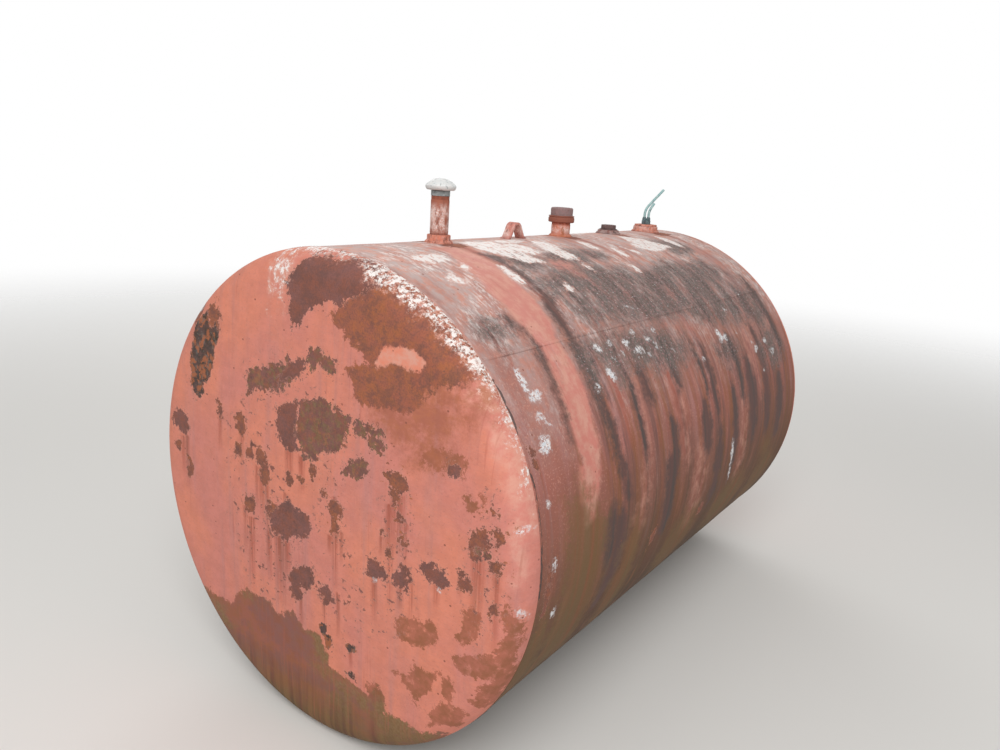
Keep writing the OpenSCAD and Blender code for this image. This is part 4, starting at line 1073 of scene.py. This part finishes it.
class TANK_OT_vent(bpy.types.Operator):
    """The vent: coupling, threaded pipe, neck, woven gauze and spun hood"""
    bl_idname = "tank.vent"
    bl_label = "Vent"

    def execute(self, context):
        s, c = context.scene.tank_sizes, context.scene.tank_colours
        x, pipe_r, _, pipe_top = standing("vent_pipe")
        # Brushed paint on steel pipe, which hands and weather have rubbed pale up its middle
        painted = worn_paint("rubbed_red_paint_on_vent_pipe", c, c.bruise, 26, 96, c.brown, c.fresh)
        # The coupling keeps more of its paint, with brown rust where water stands at its foot
        rusty = worn_paint("rusted_red_paint_on_vent_coupling", c, c.end_paint, 4, 14, c.brown,
                           c.fresh)
        sleeve_top = coupling(s, "vent_coupling", x, pipe_r - 0.3, rusty)
        bore = pipe_r - s.vent_wall / MM
        pen = Pen(bore, sleeve_top - 13).to(
            (pipe_r - 0.6, sleeve_top - 13),
            *thread_points(s, pipe_r, sleeve_top - 1, sleeve_top + 6), (pipe_r, sleeve_top + 8),
            (pipe_r, pipe_top - 11), *thread_points(s, pipe_r, pipe_top - 9, pipe_top),
            (pipe_r - 1, pipe_top), (bore, pipe_top))
        piece(pen.close().turn(), "vent_pipe_threaded", painted, "vent_pipe", x)

        _, hood_r, rim, top = standing("vent_hood")
        wide = rim + 0.36 * (top - rim)
        ball = (hood_r ** 2 + (top - wide) ** 2) / (2 * (top - wide))
        pen = Pen(0, top).arc(0, top - ball, math.degrees(math.asin(hood_r / ball)), 30)
        pen.to(*((hood_r - 7 * (1 - math.cos(turn)), wide - (wide - rim) * math.sin(turn))
                 for turn in map(math.radians, range(10, 91, 10))))
        pen.to((hood_r - 8.4, rim + 0.4), (hood_r - 8.6, rim + 1.6), (hood_r - 5.6, rim + 4),
               (hood_r - 3.4, wide - 3), (hood_r - 2.4, wide))
        hollow = (ball - top + wide) * 0.97
        pen.arc(0, wide - hollow, math.degrees(math.atan2(hollow, hood_r - 2.4)) - 90, 16)
        pen.last.co.x = 0
        hood = pen.turn(128)
        for v in hood.verts:
            v.co.z -= 0.5 * MM * (noise.noise(v.co * 45) + 0.5)
        # Cast aluminium under a chalky oxide: pale and barely metallic, with a soft sheen
        alloy = aged_metal("oxidised_cast_aluminium_hood", c, c.hood, c.white, c.neck, 0.35, 0.55)
        piece(hood, "vent_hood_spun", alloy, "vent_hood", x)

        # The same metal in the hood's shade: greyer, dirtier and less chalky
        dull = aged_metal("greyed_cast_aluminium_neck", c, c.neck, c.hood, c.soot, 0.55, 0.6)
        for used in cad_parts["vent_neck"].material_slots:
            used.material = dull

        _, gauze_r, low, high = standing("vent_screen")
        mesh, radius = bmesh.new(), (gauze_r - 0.5) * MM
        bmesh.ops.create_cone(mesh, cap_ends=False, segments=96, radius1=radius, radius2=radius,
                              depth=(high - low - 1) * MM)
        upright = [e for e in mesh.edges if abs(e.verts[0].co.z - e.verts[1].co.z) > MM]
        bmesh.ops.subdivide_edges(mesh, edges=upright, cuts=9, use_grid_fill=True)
        # Brass wire that has blackened: metallic, with a dull glint through its grime
        brass = aged_metal("blackened_brass_gauze", c, c.brass, c.mildew, c.soot, 0.8, 0.5)
        gauze = piece(mesh, "vent_gauze_woven", brass, "vent_screen", x,
                      CROWN + (low + high) / 2)
        wires = gauze.modifiers.new("wires", "WIREFRAME")
        wires.thickness, wires.use_even_offset = s.wire, False
        return {"FINISHED"}


class TANK_OT_lug(bpy.types.Operator):
    """The lifting lug, a strap bent to a loop, and the beads at its feet"""
    bl_idname = "tank.lug"
    bl_label = "Lifting lug"

    def execute(self, context):
        s, c = context.scene.tank_sizes, context.scene.tank_colours
        bend, strap, width = s.lug_bend / MM, s.lug_plate / MM, s.lug_width / MM
        lean, middle, sunk = s.lug_lean, s.lug_rise / MM - bend, 6

        def leg(radius):
            """Where a leg meets the bend, and how far out its foot is."""
            across, up = radius * math.cos(lean), middle + radius * math.sin(lean)
            return across, up, across + (up + sunk) * math.tan(lean)

        (out_x, out_z, out_foot), (in_x, in_z, in_foot) = leg(bend), leg(bend - strap)
        sweep = 180 - 2 * math.degrees(lean)
        pen = Pen(-out_foot, -sunk).to((-out_x, out_z)).arc(0, middle, sweep, 14)
        pen.to((out_foot, -sunk), (in_foot, -sunk), (in_x, in_z)).arc(0, middle, -sweep, 12)
        mesh = move(tidy(pen.to((-in_foot, -sunk)).close().mesh), y=-width / 2)
        soften(draw_out(mesh, (0, width, 0)), 1.1, 3)
        for v in mesh.verts:
            v.co += Vector((1, 1, 1)) * (noise.noise(v.co * 70) * 0.25 * MM)
        # Paint on hot-bent strap, faded like the ends', with old purple rust at its feet
        bar = worn_paint("red_paint_on_bent_strap", c, c.end_cool, 4, 40, c.purple, c.fresh)
        piece(mesh, "lifting_lug_strap", bar, "lifting_lug",
              standing("lifting_lug")[0])

        for node in ("lug_weld_front", "lug_weld_rear"):
            pen = Pen(-5, -3).to((-4.6, 1.6), (-3, 3.6), (-0.6, 4.8), (2, 5), (4.6, 4.4), (6, 2),
                                 (6, -3))
            mesh = move(pen.close().mesh, y=-0.485 * width)
            for v in draw_out(mesh, (0, 0.97 * width, 0), 48).verts:
                if v.co.z > 0:
                    lap = (v.co.y / (5.2 * MM)) % 1.0
                    v.co.z -= 0.18 * (1 - (2 * lap - 1) ** 2) * v.co.z
            if node == "lug_weld_rear":
                mirror(mesh)
            piece(saddle(mesh), node + "_bead", bar, node, standing(node)[0])
        return {"FINISHED"}


class TANK_OT_fill(bpy.types.Operator):
    """The fill pipe with its adapter and cap"""
    bl_idname = "tank.fill"
    bl_label = "Fill pipe"

    def execute(self, context):
        s, c = context.scene.tank_sizes, context.scene.tank_colours
        x, pipe_r, _, _ = standing("fill_pipe")
        _, ring_r, ring_low, _ = standing("fill_adapter")
        _, cap_r, cap_low, cap_high = standing("fill_cap")
        # Thick paint on the pipe, rubbed pale where the hose has hung, and orange rust under it
        painted = worn_paint("rubbed_red_paint_on_fill_pipe", c, c.end_paint, 8, 34, c.orange,
                             c.fresh)
        bore, pipe_top = pipe_r - s.fill_wall / MM, ring_low + 12
        pen = Pen(bore, FOOT).to((pipe_r, FOOT), (pipe_r, ring_low - 8),
                                 *thread_points(s, pipe_r, ring_low - 7, ring_low + 2),
                                 (pipe_r - 0.5, pipe_top), (bore, pipe_top))
        piece(pen.close().turn(), "fill_pipe_threaded", painted, "fill_pipe", x)
        ring_weld(s, "fill_pipe", pipe_r, x, painted)

        pen = Pen(pipe_r, ring_low + 0.5).to(
            (pipe_r + 1.5, ring_low), (ring_r - 2, ring_low), (ring_r, ring_low + 2),
            (ring_r, cap_low - 7), (ring_r - 2.2, cap_low - 5.5), (ring_r - 2.2, cap_low - 4),
            (ring_r, cap_low - 2.5), (ring_r - 1, cap_low - 0.4), (cap_r - 1, cap_low),
            (cap_r - 5, cap_low + 2), (cap_r - 5, cap_high - 5), (pipe_r - 4, cap_high - 5),
            (pipe_r - 4, ring_low + 14), (pipe_r, ring_low + 14))
        # Bare malleable iron: an even, matt skin of brown rust that hardly shines
        ring = aged_metal("rusted_malleable_iron_adapter", c, c.brown, c.bruise, c.purple, 0.1,
                          0.75)
        piece(soften(pen.close().turn(), 0.6), "fill_adapter_ring", ring, "fill_adapter",
              x)

        pen = Pen(0, cap_high - 1.6).to((cap_r - 12, cap_high - 1.6), (cap_r - 10, cap_high))
        pen.to((cap_r - 5, cap_high)).arc(cap_r - 5, cap_high - 5, 90, 6)
        pen.to((cap_r, cap_low + 5), (cap_r - 0.8, cap_low + 4.2), (cap_r, cap_low + 3.4),
               (cap_r, cap_low + 0.6), (cap_r - 0.6, cap_low), (cap_r - 4, cap_low),
               (cap_r - 4, cap_high - 4.5), (0, cap_high - 4.5))
        cap = pen.turn(144)
        grip, grips = 0.7 * MM, 24
        for v in cap.verts:
            out = Vector((v.co.x, v.co.y, 0))
            gripped = (cap_low + 6) * MM < v.co.z < (cap_high - 4) * MM
            if gripped and out.length > (cap_r - 0.2) * MM:
                v.co -= out.normalized() * (grip * (math.sin(
                    math.atan2(v.co.y, v.co.x) * grips) > 0.2))
        # Grey cast iron gone violet brown, smoother where it is handled
        iron = aged_metal("rusted_cast_iron_fill_cap", c, c.iron, c.lavender, c.purple, 0.1, 0.7)
        piece(soften(cap, 0.4, 2, 50), "fill_cap_turned", iron, "fill_cap", x)
        return {"FINISHED"}


class TANK_OT_bung(bpy.types.Operator):
    """The opening that a hexagon-headed plug closes"""
    bl_idname = "tank.bung"
    bl_label = "Plugged opening"

    def execute(self, context):
        s, c = context.scene.tank_sizes, context.scene.tank_colours
        x, _, _, plug_top = standing("bung_plug")
        bore = s.plug_bore / MM
        # Paint that has flaked to white primer and black steel round the wrench's marks
        pale = worn_paint("flaked_red_paint_on_plug_coupling", c, c.purple, 1, 9, c.soot, c.white)
        top = coupling(s, "bung_coupling", x, bore - 0.1, pale)
        mesh = Pen(0, top - 10).to((bore - 0.5, top - 10),
                                   *thread_points(s, bore, top - 8, top + 1), (bore, top),
                                   (bore + 1.8, top + 0.4), (bore + 2, top + 2.2),
                                   (bore + 1, top + 3), (0, top + 3)).turn()
        add_hexagon(mesh, s.plug_flats, top + 2.5, plug_top, 2.2, 4)
        # Malleable iron under old rust: dark, matt and a little lighter on its corners
        iron = aged_metal("rusted_malleable_iron_plug", c, c.plug, c.iron, c.soot, 0.1, 0.72)
        piece(mesh, "bung_plug_hexagon", iron, "bung_plug", x)
        return {"FINISHED"}


def bent_tube(s, tube, bend, run, material):
    """A copper tube that stands in its nut, turns over and runs on straight to a cut end."""
    low, high = box_mm(tube + "_nut")
    foot, top = low.z - 12, high.z + s.tube_rise / MM
    upright, ahead, straight = (top - foot) * MM, Vector((math.sin(bend), 0, math.cos(bend))), 24
    mesh = bmesh.new()
    starts, stops = [], []

    def draw_on(loop, steps, **how):
        """Draws a ring of edges on and gives the ring at its far end."""
        points = list(dict.fromkeys(v for e in loop for v in e.verts))
        return only(BMEdge, spin(mesh, points + loop, steps, **how))

    for radius in (s.tube_radius, s.tube_radius - s.tube_wall):
        ring = bmesh.ops.create_circle(mesh, segments=32, radius=radius)["verts"]
        loop = list(dict.fromkeys(e for v in ring for e in v.link_edges))
        starts += loop
        loop = draw_on(loop, 1, way=(0, 0, upright))
        loop = draw_on(loop, 18, turn=bend, middle=(s.tube_bend, 0, upright))
        stops += draw_on(loop, straight, way=ahead * (run / straight))
    for rim in (starts, stops):
        bmesh.ops.bridge_loops(mesh, edges=rim)
    for v in tidy(mesh).verts:
        if v.co.z > (high.z - foot) * MM:
            v.co += noise.noise_vector(v.co * 22) * (0.5 * MM)
    rotate(mesh, s.tube_heading, "Z")
    move(mesh, y=(low.y + high.y) / 2)
    piece(mesh, tube + "_bent", material, tube, (low.x + high.x) / 2, foot)


class TANK_OT_draw(bpy.types.Operator):
    """The tube connection: coupling, bushing, twin fitting, nuts and two copper tubes"""
    bl_idname = "tank.draw"
    bl_label = "Tube connection"

    def execute(self, context):
        s, c = context.scene.tank_sizes, context.scene.tank_colours
        x, _, _, bush_top = standing("reducing_bushing")
        twin_top = standing("twin_tube_fitting")[3]
        bore = s.bushing_bore / MM
        # Paint that has flaked over old purple rust, as bright as on the ends where it holds
        red = worn_paint("flaked_red_paint_on_tube_coupling", c, c.end_paint, 3, 22, c.purple,
                         c.fresh)
        top = coupling(s, "draw_coupling", x, bore, red, 2, 0.6)
        mesh = Pen(14, top - 12).to((bore - 0.2, top - 12),
                                    *thread_points(s, bore, top - 10, top + 1),
                                    (bore, top + 1.5), (14, top + 1.5)).close().turn()
        add_hexagon(mesh, s.bushing_flats, top + 0.2, bush_top, 1.6, 3)
        piece(mesh, "reducing_bushing_hexagon", red, "reducing_bushing", x)

        # Brass that has gone black, with a dull glint and a trace of green
        brass = aged_metal("blackened_brass_fitting", c, c.brass, c.copper, c.soot, 0.7, 0.5)
        mesh = add_hexagon(bmesh.new(), s.twin_flats, bush_top - 2, twin_top, 1.2, 3, s.twin_turn)
        piece(mesh, "twin_fitting_hexagon", brass, "twin_tube_fitting", x)
        for node in ("supply_tube_nut", "return_tube_nut"):
            low, high = box_mm(node)
            mesh = Pen(0, high.z - 5).to((6.25, high.z - 5), (6.2, high.z - 1.2), (5.4, high.z),
                                         (4.7, high.z), (0, high.z)).turn(48)
            add_hexagon(mesh, s.nut_flats, low.z, high.z - 4, 0.7, 3, s.twin_turn)
            move(mesh, y=(low.y + high.y) / 2)
            piece(mesh, node + "_hexagon", brass, node, (low.x + high.x) / 2, 0)

        # Copper under a chalky blue-green patina: matt, and hardly metallic any more
        patina = aged_metal("weathered_copper_tube", c, c.copper, c.copper_pale, c.brass, 0.15, 0.6)
        bent_tube(s, "supply_tube", s.supply_bend, s.supply_run, patina)
        bent_tube(s, "return_tube", s.return_bend, s.return_run, patina)
        return {"FINISHED"}


class TANK_OT_stage(bpy.types.Operator):
    """The camera, the lamps, the even light and the pale floor"""
    bl_idname = "tank.stage"
    bl_label = "Stage"

    def execute(self, context):
        t, c = context.scene.tank_stage, context.scene.tank_colours
        camera = put("camera", bpy.data.cameras.new("camera"))
        camera.data.lens, camera.data.sensor_width = t.lens, 36
        camera.matrix_world = (Matrix.Translation(t.eye)
                               @ Matrix.Rotation(t.yaw - math.pi / 2, 4, "Z")
                               @ Matrix.Rotation(math.pi / 2 + t.pitch, 4, "X")
                               @ Matrix.Rotation(t.roll, 4, "Z"))
        context.scene.camera = camera
        context.scene.view_settings.view_transform = "Standard"
        middle = Vector((0, 0, AXIS * MM))
        for name, place, power in (("key_lamp", t.key_place, t.key),
                                   ("fill_lamp", t.fill_place, t.fill)):
            lamp = put(name, bpy.data.lights.new(name, "AREA"))
            lamp.data.shape, lamp.data.size, lamp.data.energy = "DISK", t.lamp, power
            away = Vector(place) - middle
            lamp.matrix_world = Matrix.Translation(place) @ away.to_track_quat(
                "Z", "Y").to_matrix().to_4x4()
        # An overcast sky: even from all sides, and plain white where it is looked at
        world = bpy.data.worlds.new("even_light")
        world.use_nodes = True
        context.scene.world = world
        tree = world.node_tree
        tree.nodes.clear()
        path = add(tree, "LightPath", out="Is Camera Ray").node.outputs
        seen = path["Is Camera Ray"]
        for ray in ("Is Glossy Ray", "Is Transmission Ray"):
            seen = add(tree, "Math", {0: seen, 1: path[ray]}, operation="MAXIMUM")
        strength = add(tree, "Mix", {0: seen, 2: t.sky, 3: 1.0})
        light = add(tree, "Background", {"Color": linear("#FFFFFF"), "Strength": strength})
        tree.links.new(light, tree.nodes.new("ShaderNodeOutputWorld").inputs["Surface"])

        mesh = bmesh.new()
        bmesh.ops.create_circle(mesh, cap_ends=True, segments=96, radius=t.floor)
        data = bpy.data.meshes.new("floor")
        mesh.to_mesh(data)
        mesh.free()
        put("floor", data)
        # Matt grey paint, which catches the tank's shadow and fades into the light round it
        matt = bpy.data.materials.new("matt_studio_floor")
        matt.use_nodes = True
        tree = matt.node_tree
        tree.nodes.clear()
        place = add(tree, "TexCoord", out="Object")
        away = add(tree, "VectorMath", {0: place}, out="Value", operation="LENGTH")
        fade = add(tree, "MapRange", {0: away, 1: t.fade_from, 2: t.fade_to},
                   interpolation_type="SMOOTHSTEP")
        solid = add(tree, "BsdfPrincipled", {"Base Color": list(c.floor), "Roughness": 0.9})
        clear = add(tree, "BsdfTransparent")
        both = add(tree, "MixShader", {0: fade, 1: solid, 2: clear})
        tree.links.new(both, tree.nodes.new("ShaderNodeOutputMaterial").inputs["Surface"])
        data.materials.append(matt)
        return {"FINISHED"}


PIECES = (TANK_OT_stage, TANK_OT_ends, TANK_OT_shell, TANK_OT_seams, TANK_OT_vent, TANK_OT_lug,
          TANK_OT_fill, TANK_OT_bung, TANK_OT_draw)


class TANK_PT_pieces(bpy.types.Panel):
    """Lists the tank's pieces"""
    bl_idname = "TANK_PT_pieces"
    bl_label = "Storage tank"
    bl_space_type = "VIEW_3D"
    bl_region_type = "UI"
    bl_category = "Tank"

    def draw(self, context):
        for operator in PIECES:
            self.layout.operator(operator.bl_idname)


GROUPS = {"tank_sizes": TankSizes, "tank_colours": TankColours, "tank_stage": TankStage}


def register():
    for kind in (*GROUPS.values(), *PIECES, TANK_PT_pieces):
        bpy.utils.register_class(kind)
    for name, group in GROUPS.items():
        setattr(bpy.types.Scene, name, PointerProperty(type=group))


def unregister():
    for name in GROUPS:
        delattr(bpy.types.Scene, name)
    for kind in (TANK_PT_pieces, *reversed(PIECES), *GROUPS.values()):
        bpy.utils.unregister_class(kind)


def main():
    """Makes every piece and the stage."""
    register()
    noise.seed_set(SEED)
    for operator in PIECES:
        group, name = operator.bl_idname.split(".")
        getattr(getattr(bpy.ops, group), name)()


if __name__ == "__main__":
    main()
